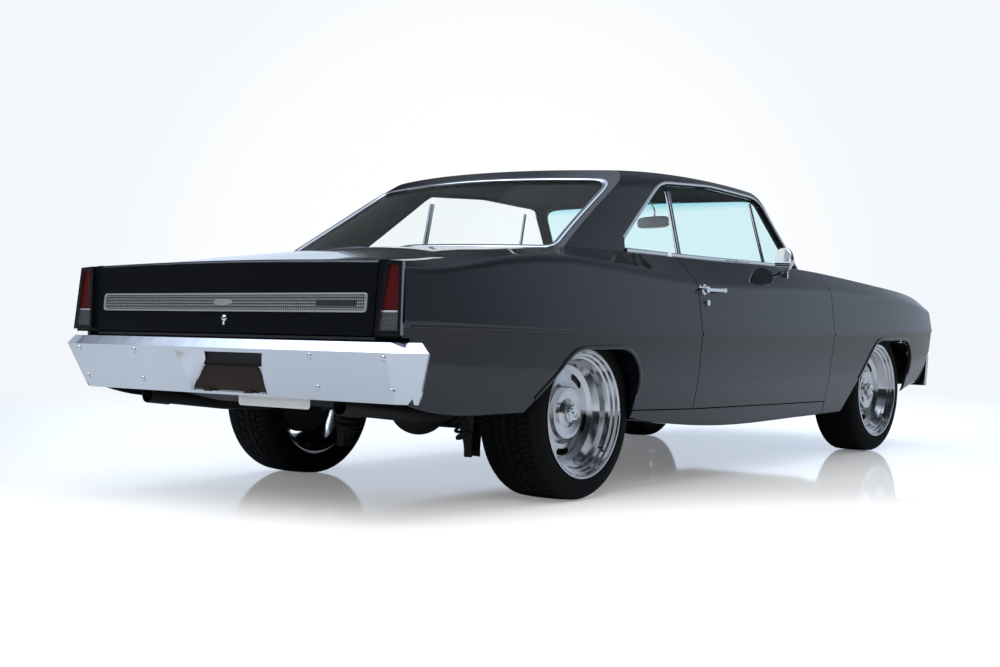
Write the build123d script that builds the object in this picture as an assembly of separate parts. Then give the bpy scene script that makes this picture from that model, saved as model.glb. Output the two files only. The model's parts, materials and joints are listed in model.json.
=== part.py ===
from build123d import *
import os
from math import atan2, cos, hypot, radians, sin, tan

# Two-door hardtop muscle car. Millimetres, +X forward, +Y to the car's left, +Z up, floor at z = 0.

# ---- driving dimensions ----
wheelbase = 2794
front_axle_x = 1534
rear_axle_x = front_axle_x - wheelbase
half_width = 897            # at the side crease
seam = 5                    # gap between two panels
seat_gap = 0.3              # clearance of a piece on the piece that carries it
sheet = 14                  # an outer panel with its inner frame
roof_wall = 36              # roof with its lining, and the pillars
door_inner_y = 704          # inner face of a door
glass_wall = 5
glass_inset = 8             # side glass behind the pillars' outer face

door_rear_x = -503
door_front_x = 807
pillar_foot_x = 672         # the windscreen pillars' feet stand on the cowl inside the doors
pillar_foot_y = 745
pillar_foot_z = 885
glass_sill_y = 713          # the door's top starts here, under its glass
hood_rear_x = 905
hood_front_x = 2165
hood_half = 706
decklid_front_x = -1490
decklid_half = 712
decklid_low_z = 622

tail_x = -2293              # tail face at the lamps' tops
tail_top_z = 866
tail_lean = 5.7             # degrees, the tail face leans forward at its top

# ---- body sections: insets are from half_width, heights from the floor ----
# x, crown height, then (inset, height) of the top edge, shoulder, crease, tuck and sill, shoulder radius,
# then the height and depth of the band over the crease
body_sections = [
    (tail_x - 60, 893, 142, 872, 68, 855, 53, 651, 60, 520, 100, 456, 24, 21, 6),
    (rear_axle_x - 593, 930, 150, 905, 49, 884, 28, 643, 40, 500, 84, 347, 34, 17, 5),
    (rear_axle_x - 3, 985, 160, 956, 42, 905, 7, 630, 20, 480, 62, 325, 60, 9, 3.5),
    (door_rear_x - 260, 992, 150, 955, 34, 862, 1, 621, 18, 450, 60, 272, 80, 7, 3),
    (door_rear_x + 340, 992, 117, 946, 25, 833, 0, 617, 24, 420, 62, 228, 90, 6, 3),
    (door_front_x - 170, 960, 112, 936, 28, 836, 4, 616, 30, 420, 70, 228, 90, 6, 3),
    (front_axle_x - 197, 924, 96, 890, 34, 828, 9, 620, 34, 440, 76, 236, 70, 6, 3),
    (front_axle_x + 403, 878, 100, 842, 50, 792, 28, 632, 50, 480, 90, 320, 50, 6, 3),
    (front_axle_x + 780, 790, 122, 762, 84, 728, 70, 640, 86, 520, 122, 330, 30, 5, 2),
]
edge_radius = 16
crease_radius = 2
tuck_radius = 150
sill_radius = 25
crown_share = 0.72          # share of the half width that the crown's arc takes

# ---- greenhouse sections: x, belt half width, rail half width, rail height, crown height ----
belt_z = 925
cabin_sections = [
    (780, 742, 642, 1262, 1292),
    (420, 740, 648, 1306, 1343),
    (40, 738, 650, 1322, 1361),
    (-433, 738, 650, 1318, 1356),
    (-820, 740, 646, 1292, 1328),
    (-1500, 748, 640, 1205, 1232),
]
rail_radius = 100
windscreen_foot = (850, 938)
windscreen_head = (510, 1330)
windscreen_radius = 2640
rear_window_foot = (-1414, 1008)
rear_window_head = (-877, 1295)
rear_window_radius = 2600

# side window outline, x and z, then corner radius
side_window = [(722, 900, 0), (425, 1262, 30), (-20, 1284, 900), (-461, 1266, 45), (-838, 1006, 22), (-862, 900, 0)]
split_bar_x = -411
vent_bar_x = 360
bar_width = 20

# ---- wheel arches, x from the axle and z, then corner radius ----
rear_arch = [(-460, 290, 0), (-140, 571, 160), (305, 571, 150), (290, 180, 0)]
front_arch = [(-560, 180, 0), (-175, 590, 130), (372, 590, 150), (345, 330, 60), (250, 180, 0)]
lip_width = 9               # turned-in edge of a wheel opening
lip_clearance = 6           # between that edge and the tyre's outer face

# ---- wheels: tyre radius and width, the lip's distance from the centre line, depth of the cap and of the disc ----
rim_radius = 240
wheel_specs = {
    "front": dict(axle_x=front_axle_x, radius=324, width=238, outer_y=809, cap_depth=40, disc_depth=84),
    "rear": dict(axle_x=rear_axle_x, radius=327, width=276, outer_y=826, cap_depth=59, disc_depth=106),
}
disc_wall = 11
slot_count = 5
slot_ring = 148             # radius of the slots' middle line
slot_width = 25
slot_turn = 21              # degrees of that line in a slot, without its round ends
# radius from the tread and offset from the outer side, outside in
tyre_shoulder = [(-60, 0), (-34, -4), (-14, -16), (-4, -32), (0, -54)]
kingpin_y = 640


def block(x0, x1, y0, y1, z0, z1):
    """A box between two corners."""
    return Pos((x0 + x1) / 2, (y0 + y1) / 2, (z0 + z1) / 2) * Box(abs(x1 - x0), abs(y1 - y0), abs(z1 - z0))


def both_sides(shape):
    """A left-hand piece with its right-hand twin."""
    return shape + mirror(shape, about=Plane.XZ)


def right_hand(shape):
    return mirror(shape, about=Plane.XZ)


def outline_face(points, plane=Plane.XZ):
    """A closed face from rows of u, v and corner radius."""
    line = FilletPolyline(*[(u, v) for u, v, r in points], radius=[r for u, v, r in points], close=True)
    return plane * make_face(line)


def through_y(points, half=1200):
    """An outline in side view, carried across the car."""
    return extrude(outline_face(points), half, both=True)


def inset_points(points, wall):
    """The open outline moved inwards by a wall; the first and last points stay on the centre line."""
    moved = []
    for i, (y, z) in enumerate(points):
        normals = []
        for a, b in ((i - 1, i), (i, i + 1)):
            if a < 0 or b >= len(points):
                continue
            dy, dz = points[b][0] - points[a][0], points[b][1] - points[a][1]
            length = hypot(dy, dz)
            normals.append((dz / length, -dy / length))
        ny, nz = sum(n[0] for n in normals), sum(n[1] for n in normals)
        size = hypot(ny, nz)
        ny, nz = ny / size, nz / size
        reach = wall / max(0.4, ny * normals[0][0] + nz * normals[0][1])
        if i in (0, len(points) - 1):
            moved.append((0, z + (wall if nz > 0 else -wall)))
        else:
            moved.append((y + ny * reach, z + nz * reach))
    return moved


def section_face(x, points, radii):
    """A closed cross-section at x from its left half, top centre first, with a radius for each point."""
    half = list(zip(points, radii))
    crown_turn = atan2(points[0][1] - points[1][1], points[1][0])
    crown = crown_share * points[1][0] / tan(crown_turn)
    left = [(y, z, r) for (y, z), r in half[1:]]
    loop = [(0, points[0][1], crown)] + left + [(-y, z, r) for y, z, r in reversed(left)]
    return outline_face(loop, Plane(origin=(x, 0, 0), x_dir=(0, 1, 0), z_dir=(1, 0, 0)))


def body_form(wall=0, drop=0):
    """The closed form of the lower body, inside the outer skin by a wall, with its bottom lowered by a drop."""
    faces = []
    for row in body_sections:
        x, crown_z, shoulder_radius, band_height, band_depth = row[0], row[1], *row[12:]
        top, shoulder, crease, tuck, sill = [(half_width - row[i], row[i + 1]) for i in range(2, 12, 2)]
        band = (crease[0], crease[1] + band_height)
        crease = (crease[0] - band_depth, crease[1])
        lean = (sill[0] - tuck[0]) / (sill[1] - tuck[1])
        sill = (sill[0] - lean * drop, sill[1] - drop)
        points = [(0, crown_z), top, shoulder, band, crease, tuck, sill, (0, sill[1])]
        points = inset_points(points, wall)[:-1] if wall else points[:-1]
        radii = [0, max(4, edge_radius - wall), max(6, shoulder_radius - wall), crease_radius, crease_radius,
                 tuck_radius - wall, sill_radius]
        faces.append(section_face(x, points, radii))
    return loft(faces)


def cabin_form(wall=0):
    """The closed form of the greenhouse, inside its outer face by a wall."""
    faces = []
    for x, belt_y, rail_y, rail_z, crown_z in cabin_sections:
        slope = (belt_y - rail_y) / (rail_z - belt_z)
        side = wall * hypot(1, slope)
        points = [(0, crown_z - wall), (rail_y - side + wall * slope, rail_z - wall), (belt_y - side, belt_z)]
        faces.append(section_face(x, points, [0, max(20, rail_radius - wall), 0]))
    return loft(faces)


def glass_cylinder(foot, head, radius, wall=0):
    """A wide cylinder whose wall runs from the foot to the head of a window on the centre line."""
    dx, dz = head[0] - foot[0], head[1] - foot[1]
    length = hypot(dx, dz)
    along = Vector(dx / length, 0, dz / length)
    out = Vector(dz / length, 0, -dx / length)
    if out.Z < 0:
        out = out * -1
    centre = Vector(foot[0], 0, foot[1]) - out * radius
    return Plane(origin=centre, x_dir=(0, 1, 0), z_dir=along) * Cylinder(radius - wall, 4000)


def tail_side(offset=0):
    """Everything ahead of the leaning tail face."""
    normal = Vector(-cos(radians(tail_lean)), 0, sin(radians(tail_lean)))
    origin = Vector(tail_x, 0, tail_top_z) - normal * offset
    return Plane(origin=origin, x_dir=(0, 1, 0), z_dir=normal) * Box(
        4000, 4000, 7000, align=(Align.CENTER, Align.CENTER, Align.MAX))


nose_points = [(2050, 1500, 0), (2120, 860, 0), (2248, 775, 40), (2291, 675, 60), (2256, 575, 60), (2205, 500, 60),
               (2150, 150, 0), (-4000, 150, 0), (-4000, 1500, 0)]


def nose_side(offset=0):
    """Everything behind the nose's outline in side view."""
    return Pos(-offset, 0, 0) * through_y(nose_points)


open_bottom = 70            # the panels have no floor of their own
outer = body_form() & tail_side() & nose_side()
inner = body_form(sheet, open_bottom) & tail_side(sheet) & nose_side(sheet)
skin = outer - inner
grown = body_form(-seat_gap)
lining = body_form(sheet + seat_gap, open_bottom) & tail_side(sheet + seat_gap) & nose_side(sheet + seat_gap)


def arch_opening(points, axle_x, grow=0):
    """A wheel opening's outline carried across the car."""
    line = FilletPolyline(*[(u, v) for u, v, r in points], radius=[r for u, v, r in points], close=True)
    face = offset(make_face(line), grow) if grow else make_face(line)
    return Pos(axle_x, 0, 0) * extrude(Plane.XZ * face, 1200, both=True)


arches = arch_opening(rear_arch, rear_axle_x) + arch_opening(front_arch, front_axle_x)


def arch_lip(points, axle_x, y_inner):
    """The edge of a wheel opening, turned in to stiffen the panel."""
    ring = arch_opening(points, axle_x, lip_width) & block(axle_x - 600, axle_x + 600, y_inner, 1000, 250, 700)
    return outer & (ring - arch_opening(points, axle_x))


rocker_line = [(-975, 327), (door_rear_x, 313), (door_front_x, 292)]


def rocker_zone(gap=0):
    """Below the doors and the quarter panels' front ends."""
    top = [(x, z - gap, 0) for x, z in rocker_line]
    return through_y([(rocker_line[0][0], 100, 0)] + top + [(door_front_x, 100, 0)])


# ---- outer panels ----
def make_quarters():
    side = block(tail_x - 100, door_rear_x - seam / 2, decklid_half + seam, 1000, 100, 1200)
    panel = skin & side
    trim = outer & block(-870, door_rear_x - seam / 2, door_inner_y, decklid_half + 60, 300, 1200)
    panel = panel + trim - arches - rocker_zone(-seam)
    panel = panel - lamp_pocket() - bumper_room()
    lip = arch_lip(rear_arch, rear_axle_x, wheel_specs["rear"]["outer_y"] + lip_clearance)
    return both_sides(panel + (lip - rocker_zone(-seam)))


lamp_corners = [(829, 862), (757, 866), (732, 626), (843, 626)]
lamp_face_x = tail_x - (tail_top_z - 745) * tan(radians(tail_lean))
lamp_depth = 60
lamp_skin = 4               # left of the panel outside the lamp


def lamp_block(inset, x_back, x_front):
    """A tapered upright block on the tail's corner, inside the lamp's outline by an inset."""
    cy = sum(y for y, z in lamp_corners) / 4
    cz = sum(z for y, z in lamp_corners) / 4
    points = []
    for y, z in lamp_corners:
        points.append((y - inset * (1 if y > cy else -1), z - inset * (1 if z > cz else -1)))
    face = Plane(origin=(x_back, 0, 0), x_dir=(0, 1, 0), z_dir=(1, 0, 0)) * make_face(Polyline(*points, close=True))
    return extrude(face, x_front - x_back)


def lamp_pocket():
    """Room for a lamp in the panel's rear end, under its outer skin."""
    room = lamp_block(-seat_gap, -2500, lamp_face_x + lamp_depth)
    return (room - tail_side()) + (room & body_form(lamp_skin))


lamp_form = body_form(lamp_skin + seat_gap)


def under_skin(shape):
    """What of a lamp's shape stands behind the tail face or lies under the panel's skin."""
    return (shape - tail_side(-seat_gap)) + (shape & lamp_form)


def tail_gap(edge):
    """Distance of an edge's middle from the tail's outer plane."""
    middle = edge.center()
    return (middle.X - tail_x) * cos(radians(tail_lean)) - (middle.Z - tail_top_z) * sin(radians(tail_lean))


lid_roll = 12               # radius of the decklid's rear edge


def make_bezels():
    shell = lamp_block(0, -2500, lamp_face_x + lamp_depth - seat_gap) & tail_side(-14)
    hollow = lamp_block(14, -2500, lamp_face_x + lamp_depth - 16)
    return both_sides(under_skin(shell) - hollow)


def make_lamps():
    lens = lamp_block(14 + seat_gap, -2500, lamp_face_x + lamp_depth - 16 - seat_gap) & tail_side(-6)
    return both_sides(under_skin(lens))


def make_decklid():
    """Lid whose rear edge rolls over into the tail face."""
    lid = skin & block(tail_x - 100, decklid_front_x - seam, -decklid_half, decklid_half, decklid_low_z, 1200)
    edge = [e for e in lid.edges() if e.center().X < tail_x + 20 and e.center().Z > 850 and abs(tail_gap(e)) < 0.5]
    return fillet(edge, lid_roll)


def make_tail_panel():
    half = decklid_half + seam - seat_gap
    panel = block(bumper_room_x, bumper_room_x + sheet, -half, half, 440, decklid_low_z - seam - 8)
    ledge = block(tail_x - 18, bumper_room_x + sheet, -half, half, decklid_low_z - seam - 8, decklid_low_z - seam)
    return panel + ledge


def make_rear_deck():
    half = decklid_half + seam - seat_gap
    leaves = hinge_pads(decklid_front_x - seam + seat_gap, decklid_front_x + 1, decklid_half, 880, 1200)
    return (skin & block(decklid_front_x, -900, -half, half, 800, 1200)) + (leaves & skin & (Pos(0, 0, -4) * outer))


def make_rockers():
    """Box sections below the doors, thinned to the skin beside the rear tyres."""
    thick_x = rear_axle_x + wheel_specs["rear"]["radius"] + 15
    tyre_y = wheel_specs["rear"]["outer_y"] + lip_clearance
    zone = rocker_zone() & block(rear_axle_x + 285, door_front_x - seam, door_inner_y, 1000, 100, 400)
    rocker = outer & (zone - block(-3000, thick_x, 0, tyre_y, 0, 400))
    return both_sides(rocker - arches)


hinge_pad = 60              # width of each lid's hinge leaf


def hinge_pads(x_back, x_front, half, z_low, z_high):
    """Two flat leaves in the gap in front of or behind a lid."""
    return both_sides(block(x_back, x_front, half - 150, half - 150 + hinge_pad, z_low, z_high))


def make_cowl():
    half = door_inner_y - seam
    foot = both_sides(block(pillar_foot_x, door_front_x - seam, half - 1, pillar_foot_y, pillar_foot_z, 1200))
    corner = both_sides(block(door_front_x - seam - 1, hood_rear_x - seam, half - 1, hood_half, 800, 1200))
    panel = skin & (block(pillar_foot_x, hood_rear_x - seam, -half, half, 800, 1200) + foot + corner)
    leaves = hinge_pads(hood_rear_x - seam - 1, hood_rear_x - seat_gap, hood_half, 880, 1000)
    return panel + (leaves & skin & (Pos(0, 0, -4) * outer))


def make_fenders():
    side = block(door_front_x + seam / 2, 2500, hood_half + seam, 1000, 100, 1200)
    panel = skin & side & block(0, hood_front_x + 60, 0, 1000, 0, 2000)
    return both_sides(panel - arches)


def make_hood():
    zone = block(hood_rear_x, hood_front_x, -hood_half, hood_half, 600, 1200)
    return skin & zone


grille_half = 690
grille_low_z = 560
grille_high_z = 725


def make_nose():
    front = skin & block(hood_front_x + seam, 2500, -hood_half, hood_half, 500, 1200)
    valance = skin & block(2100, 2500, -hood_half, hood_half, 320, 560)
    opening = block(2150, 2500, -grille_half, grille_half, grille_low_z, grille_high_z)
    return front - opening + (valance - opening) - both_sides(bumper_iron(4))


headlamp_y = 600
headlamp_z = 642
headlamp_radius = 80


def make_grille():
    """Level bars between a surround's sides, open round each headlamp."""
    x_back, x_front = 2195, 2225
    bars = []
    for i in range(9):
        z = grille_low_z + 12 + i * 17.5
        bars.append(block(x_back + 8, x_front, -grille_half + 8, grille_half - 8, z, z + 7))
    frame = block(x_back, x_front, -grille_half + seat_gap, grille_half - seat_gap,
                  grille_low_z + seat_gap, grille_high_z - seat_gap)
    frame -= block(x_back - 1, x_front + 1, -grille_half + 12, grille_half - 12, grille_low_z + 10, grille_high_z - 10)
    ribs = [block(x_back, x_back + 10, y - 6, y + 6, grille_low_z + 5, grille_high_z - 5) for y in (-400, 0, 400)]
    grille = frame + bars + ribs
    for side in (-1, 1):
        ring = Pos(x_back + 15, side * headlamp_y, headlamp_z) * Rot(0, 90, 0) * Cylinder(headlamp_radius + 8, 44)
        hole = Pos(x_back + 15, side * headlamp_y, headlamp_z) * Rot(0, 90, 0) * Cylinder(headlamp_radius - 2, 60)
        grille = grille + (ring & block(2100, 2400, -1000, 1000, grille_low_z + 1, grille_high_z - 1)) - hole
    return grille


def make_headlamps():
    lamp = Pos(2195 + 12, headlamp_y, headlamp_z) * Rot(0, 90, 0) * Cylinder(headlamp_radius - 2 - seat_gap, 24)
    return both_sides(lamp)


# ---- bumpers ----
bumper_room_x = -2268       # the body ends here behind the rear bumper


def bumper_room():
    return block(-2500, bumper_room_x, -1000, 1000, 0, decklid_low_z - seam)


bumper_wall = 8
bumper_return = 12          # depth of the ends' return edges
bumper_body_half = 842      # they clear the body's corners outside this
# plan outline of the blade's left half at three heights: z, x of the middle, y where it bends, x and y of its end
bumper_levels = [(403, -2286, 783, -2253, 856), (570, -2352, 800, -2295, 931), (602, -2326, 790, -2285, 894)]
recess_half = 202           # number plate recess: half width at its foot
recess_mouth = (262, 240)   # half widths of its top and foot, 84 mm behind the bumper's room
recess_top_z = 556
recess_low_z = 414
recess_back_x = -2272
bracket_half = 143          # half width of the bracket's top edge
bracket_top_z = 506


def bumper_form(inset, reach):
    """The bumper's full form, inside its outer face by an inset, carried forward of its ends by a reach."""
    levels = []
    for i, (z, x_mid, y_bend, x_end, y_end) in enumerate(bumper_levels):
        level_z = z + (inset, 0, -inset)[i]
        left = [(x_mid + inset, y_bend), (x_end + inset, y_end - inset), (x_end + reach, y_end - inset - 4)]
        right = [(x, -y) for x, y in reversed(left)]
        levels.append(Pos(0, 0, level_z) * make_face(Polyline(*left, *right, close=True)))
    return loft(levels, ruled=True)


def recess_form(grow, x_back):
    """The number plate recess, which narrows towards its back."""
    faces = []
    for x, top, low in ((-2370, *recess_mouth), (x_back, bracket_half - 12, recess_half - 12)):
        loop = [(top + grow, recess_top_z + grow), (low + grow, recess_low_z - grow),
                (-low - grow, recess_low_z - grow), (-top - grow, recess_top_z + grow)]
        plane = Plane(origin=(x, 0, 0), x_dir=(0, 1, 0), z_dir=(1, 0, 0))
        faces.append(plane * make_face(Polyline(*loop, close=True)))
    return loft(faces, ruled=True)


def make_rear_bumper():
    """A chromed blade across the tail whose ends wrap round the corners, with a recess for the plate."""
    form = bumper_form(0, bumper_return)
    shell = form - bumper_form(bumper_wall, bumper_return + 20)
    shell -= block(bumper_room_x - seat_gap, bumper_room_x + 60, -bumper_body_half, bumper_body_half, 300, 700)
    funnel = recess_form(4, recess_back_x) & form
    bracket = block(recess_back_x - 5, recess_back_x, -recess_half, recess_half, recess_low_z - 2, bracket_top_z)
    shell = shell + funnel - recess_form(0, recess_back_x + 1) + (bracket & recess_form(1, recess_back_x + 1))
    iron = block(bumper_levels[1][1] + 30, bumper_room_x - seat_gap, 300, 360, 470, 540)
    return shell + both_sides(iron & form + block(-2300, bumper_room_x, 200, 400, 400, 600))


def bumper_iron(clearance):
    """The left bracket from the radiator panel to the front bumper."""
    c = clearance
    return block(radiator_x + plate + seat_gap, 2296, apron_y - 30 - c, apron_y + 6 + c, 400 - c, 460 + c)


front_bumper_x = 2349       # its middle
front_bumper_end_x = 2256
front_bumper_bend_y = 560
front_bumper_half = 812


def front_blade(inset):
    """The front bumper's form: a bowed blade, leaning back at its foot."""
    levels = []
    for z, lean in ((330 + inset, 14), (490, 0), (505 - inset, 8)):
        x_mid, x_end = front_bumper_x - inset - lean, front_bumper_end_x - inset - 2 * lean
        y_end = front_bumper_half - inset
        left = [(x_mid, front_bumper_bend_y), (x_end, y_end), (x_end - 30, y_end)]
        right = [(x, -y) for x, y in reversed(left)]
        levels.append(Pos(0, 0, z) * make_face(Polyline(*left, *right, close=True)))
    return loft(levels, ruled=True)


def make_front_bumper():
    """A bowed blade below the grille whose ends sweep back under the fenders' tips."""
    bar = front_blade(0) - Pos(-12, 0, 0) * front_blade(10) - Pos(-44, 0, 0) * front_blade(-1)
    reach = block(2296, front_bumper_x - 12, apron_y - 30, apron_y + 6, 400, 460)
    return bar + both_sides(bumper_iron(0) + reach)


# ---- greenhouse ----
cabin_outer = cabin_form()
cabin_inner = cabin_form(roof_wall)
glass_room = cabin_form(roof_wall + seat_gap) - grown
side_shell = cabin_form(glass_inset) - cabin_form(glass_inset + glass_wall)
front_cylinder = glass_cylinder(windscreen_foot, windscreen_head, windscreen_radius)
rear_cylinder = glass_cylinder(rear_window_foot, rear_window_head, rear_window_radius)


def make_roof():
    form = cabin_outer & front_cylinder & rear_cylinder
    return form - cabin_inner - through_y(side_window) - grown


def pane(foot, head, radius):
    recess = 4
    glass = glass_cylinder(foot, head, radius, recess) - glass_cylinder(foot, head, radius, recess + glass_wall)
    ahead = foot[0] > head[0]
    near = block(200, 1200, -900, 900, 880, 1500) if ahead else block(-2000, -400, -900, 900, 880, 1500)
    return glass & near & glass_room


def make_windscreen():
    return pane(windscreen_foot, windscreen_head, windscreen_radius)


def make_rear_window():
    return pane(rear_window_foot, rear_window_head, rear_window_radius)


def side_glass(x_rear, x_front):
    rows = [(722 - 8, 900, 0), (425 - 4, 1256, 30), (-20, 1278, 900), (-461 + 4, 1260, 45), (-838 + 8, 1004, 22),
            (-862 + 8, 900, 0)]
    zone = through_y(rows) & block(x_rear, x_front, 500, 900, 900, 1400)
    return (side_shell & zone) - grown


# ---- doors ----
def make_door():
    """The left door: the whole thickness of the side between its seams."""
    zone = block(door_rear_x + seam / 2, door_front_x - seam / 2, door_inner_y, 1000, 200, 1100)
    door = (outer & zone) - rocker_zone(-seam) - block(-3000, 3000, -3000, glass_sill_y, 925, 1200)
    return door - block(pillar_foot_x - seam, 3000, 0, pillar_foot_y + seam, pillar_foot_z - seam, 1200)


def make_door_glass():
    panes = side_glass(split_bar_x + bar_width / 2, vent_bar_x - bar_width / 2)
    vent = side_glass(vent_bar_x + bar_width / 2, 900)
    return panes + vent


def make_quarter_windows():
    return both_sides(side_glass(-1000, split_bar_x - bar_width / 2))


mirror_centre = (300, 858, 968)
mirror_radius = 58
mirror_turn = 20            # degrees, towards the driver
handle_z = 813


def make_door_chrome():
    """The left door's handle with its push button, its lock and its mirror."""
    grip = block(-470, -302, 888, 898, handle_z - 8, handle_z + 8)
    grip = fillet(grip.edges().filter_by(Axis.X), 4)
    front_foot = disc_y(-312, handle_z, 850, 896, 11)
    escutcheon = disc_y(-470, handle_z, 850, 884, 22)
    button = disc_y(-470, handle_z, 870, 902, 14)
    lock = disc_y(-444, 758, 850, 890, 13)
    shell = FilletPolyline((0, 0), (mirror_radius, 0), (mirror_radius - 1, 14), (38, 36), (0, 42), radius=[3, 8, 24])
    face = make_face(shell + Line((0, 42), (0, 0)))
    head = Pos(*mirror_centre) * Rot(0, 0, -90 + mirror_turn) * revolve(face, Axis.Y, 360)
    foot = Pos(405, 806, 905) * Cylinder(26, 40)
    stem = rod((405, 808, 915), (322, 852, 950), 9)
    return (grip + front_foot + escutcheon + button + lock + foot + stem + head) - grown


# ---- wheels ----
def wheel_profile(spec):
    """Half section of the rim, disc and hub: radius and offset outwards from the lip plane."""
    w, cap, disc = spec["width"] - 30, -spec["cap_depth"], -spec["disc_depth"]
    back = disc - disc_wall
    cap_face = [(0, back), (0, cap + 4), (18, cap + 3), (34, cap - 4), (37, cap - 18)]
    dish = [(56, disc + 22), (84, disc + 27), (96, disc + 26), (104, disc + 12), (118, disc + 4), (164, disc),
            (184, disc + 10)]
    barrel = [(197, disc + 38), (203, -46), (208, -34), (216, -30), (219, -20), (227, -16), (230, -5), (236, 0)]
    flange = [(rim_radius + 3, -1), (rim_radius + 3, -8), (rim_radius, -11)]
    well = [(rim_radius, -13), (229, -18), (226, -38), (212, -50), (206, -70), (206, -w + 40), (226, -w + 20)]
    inner_lip = [(rim_radius, -w + 8), (rim_radius, -w), (230, -w), (198, -w + 34), (192, disc - 8), (178, back),
                 (90, back)]
    return cap_face + dish + barrel + flange + well + inner_lip


def make_wheel(spec, side):
    """A wide dished wheel with slots, on its own axis."""
    profile = make_face(Polyline(*wheel_profile(spec), close=True))
    wheel = revolve(profile, Axis.Y, 360)
    slot = SlotArc(CenterArc((0, 0), slot_ring, -slot_turn / 2, slot_turn), slot_width)
    cutter = extrude(Plane.XZ * slot, 400, both=True)
    for i in range(slot_count):
        wheel -= Rot(0, 90 + i * 360 / slot_count, 0) * cutter
    return place_wheel(wheel, spec, side)


def make_tyre(spec, side):
    w, r = spec["width"], spec["radius"]
    bead = rim_radius + seat_gap
    outer_side = [(r + dr, dy) for dr, dy in tyre_shoulder]
    inner_side = [(r + dr, -w - dy) for dr, dy in reversed(tyre_shoulder)]
    section = [(bead, -14), (bead + 5, -3)] + outer_side + inner_side + [(bead + 5, -w + 3), (bead, -w + 14)]
    return place_wheel(revolve(make_face(Polyline(*section, close=True)), Axis.Y, 360), spec, side)


def place_wheel(shape, spec, side):
    placed = Pos(spec["axle_x"], spec["outer_y"], spec["radius"]) * shape
    return placed if side > 0 else right_hand(placed)


def export(name, shape):
    export_step(shape, f"parts/{name}.step")
    return shape


# ---- floor and front structure ----
floor_z = 290
tunnel_half = 175
tunnel_z = 420
rear_floor_z = 482
tub_inner_y = 520
tub_z = 688
trunk_floor_z = 470
plate = 12
apron_y = 405
apron_top_z = 702
firewall_x = 826
radiator_x = 2098
heel_x = -480               # the floor steps up under the rear seat
seat_pan_z = 400
rear_seat_x = -850
tub_front_x = rear_axle_x + 352
tub_rear_x = rear_axle_x - 385


def make_floor_pan():
    """Front floor with its tunnel, heel board, rear floor with the wheelhouses, and trunk floor."""
    side = door_inner_y - 2
    under_tunnel = block(-3000, 3000, -tunnel_half + plate, tunnel_half - plate, 200, tunnel_z - plate)
    front = block(heel_x, firewall_x - seat_gap, -side, side, floor_z, floor_z + plate)
    tunnel = block(heel_x, firewall_x - seat_gap, -tunnel_half, tunnel_half, floor_z, tunnel_z)
    heel = block(heel_x, heel_x + plate, -side, side, floor_z, seat_pan_z)
    seat_pan = block(rear_seat_x, heel_x + plate, -side, side, seat_pan_z - plate, seat_pan_z)
    riser = block(rear_seat_x, rear_seat_x + plate, -side, side, seat_pan_z - plate, rear_floor_z)
    cabin_floor = front + tunnel + heel - under_tunnel + seat_pan + riser
    rear = block(tub_rear_x, rear_seat_x + plate, -tub_inner_y - plate, tub_inner_y + plate,
                 rear_floor_z - plate, rear_floor_z)
    tub = block(tub_rear_x - plate, tub_front_x + plate, tub_inner_y, 900, rear_floor_z - plate, tub_z)
    tub -= block(tub_rear_x, tub_front_x, tub_inner_y + plate, 1000, 300, tub_z - plate)
    ledge = block(tub_front_x, rear_seat_x + plate, tub_inner_y, door_inner_y - 1, rear_floor_z - plate, rear_floor_z)
    trunk = block(tail_x + 60, tub_rear_x, -690, 690, trunk_floor_z - plate, trunk_floor_z)
    step = block(tub_rear_x - plate, tub_rear_x, -690, 690, trunk_floor_z - plate, rear_floor_z)
    pan = cabin_floor + rear + both_sides(tub + ledge) + trunk + step
    return pan & lining


def make_front_structure():
    """Firewall with the hinge posts, side aprons with their top flanges, rails and the radiator panel."""
    firewall = block(firewall_x, firewall_x + plate, -700, 700, floor_z, 1000)
    firewall -= block(0, 1000, -tunnel_half + plate, tunnel_half - plate, 200, tunnel_z - plate)
    post = block(firewall_x - 14, firewall_x + 40, door_inner_y - 4, 868, floor_z + plate + seat_gap, 900)
    leaves = [block(door_front_x - seam / 2 + seat_gap, firewall_x, 780, 850, z, z + 60) for z in (430, 740)]
    apron = block(firewall_x, radiator_x + plate, apron_y, apron_y + plate, 300, apron_top_z)
    flange = block(firewall_x, radiator_x + plate, apron_y, 900, apron_top_z - plate, apron_top_z)
    rail = block(firewall_x, radiator_x + plate, apron_y - 70, apron_y + 1, 300, 370)
    panel = block(radiator_x, radiator_x + plate, -apron_y - 8, apron_y + 8, 300, 740)
    panel -= block(2000, 2200, -300, 300, 380, 690)
    return (firewall + panel + both_sides(post + apron + flange + rail) + both_sides(Compound(leaves))) & lining


# ---- running gear ----
hub_radius = 75
axle_tube_radius = 40
knuckle_low_z = 212
knuckle_high_z = 436


def hub_back_y(spec):
    """Distance from the centre line to the back of a wheel's hub."""
    return spec["outer_y"] - spec["disc_depth"] - disc_wall


def rod(a, b, radius):
    """A round bar between two points."""
    start, end = Vector(*a), Vector(*b)
    return Plane(origin=start, z_dir=end - start) * Cylinder(
        radius, (end - start).length, align=(Align.CENTER, Align.CENTER, Align.MIN))


def disc_y(x, z, y0, y1, radius):
    return rod((x, y0, z), (x, y1, z), radius)


def make_knuckle():
    spec = wheel_specs["front"]
    x, z = spec["axle_x"], spec["radius"]
    back = hub_back_y(spec) - seat_gap
    upright = block(x - 22, x + 22, kingpin_y - 20, kingpin_y + 20, knuckle_low_z + 14, knuckle_high_z - 14)
    spindle = disc_y(x, z, kingpin_y, back - 24, 36)
    flange = disc_y(x, z, back - 24, back, hub_radius)
    arm = block(x - 150, x, kingpin_y - 20, kingpin_y + 4, z - 70, z - 46)
    return upright + spindle + flange + arm


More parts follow.
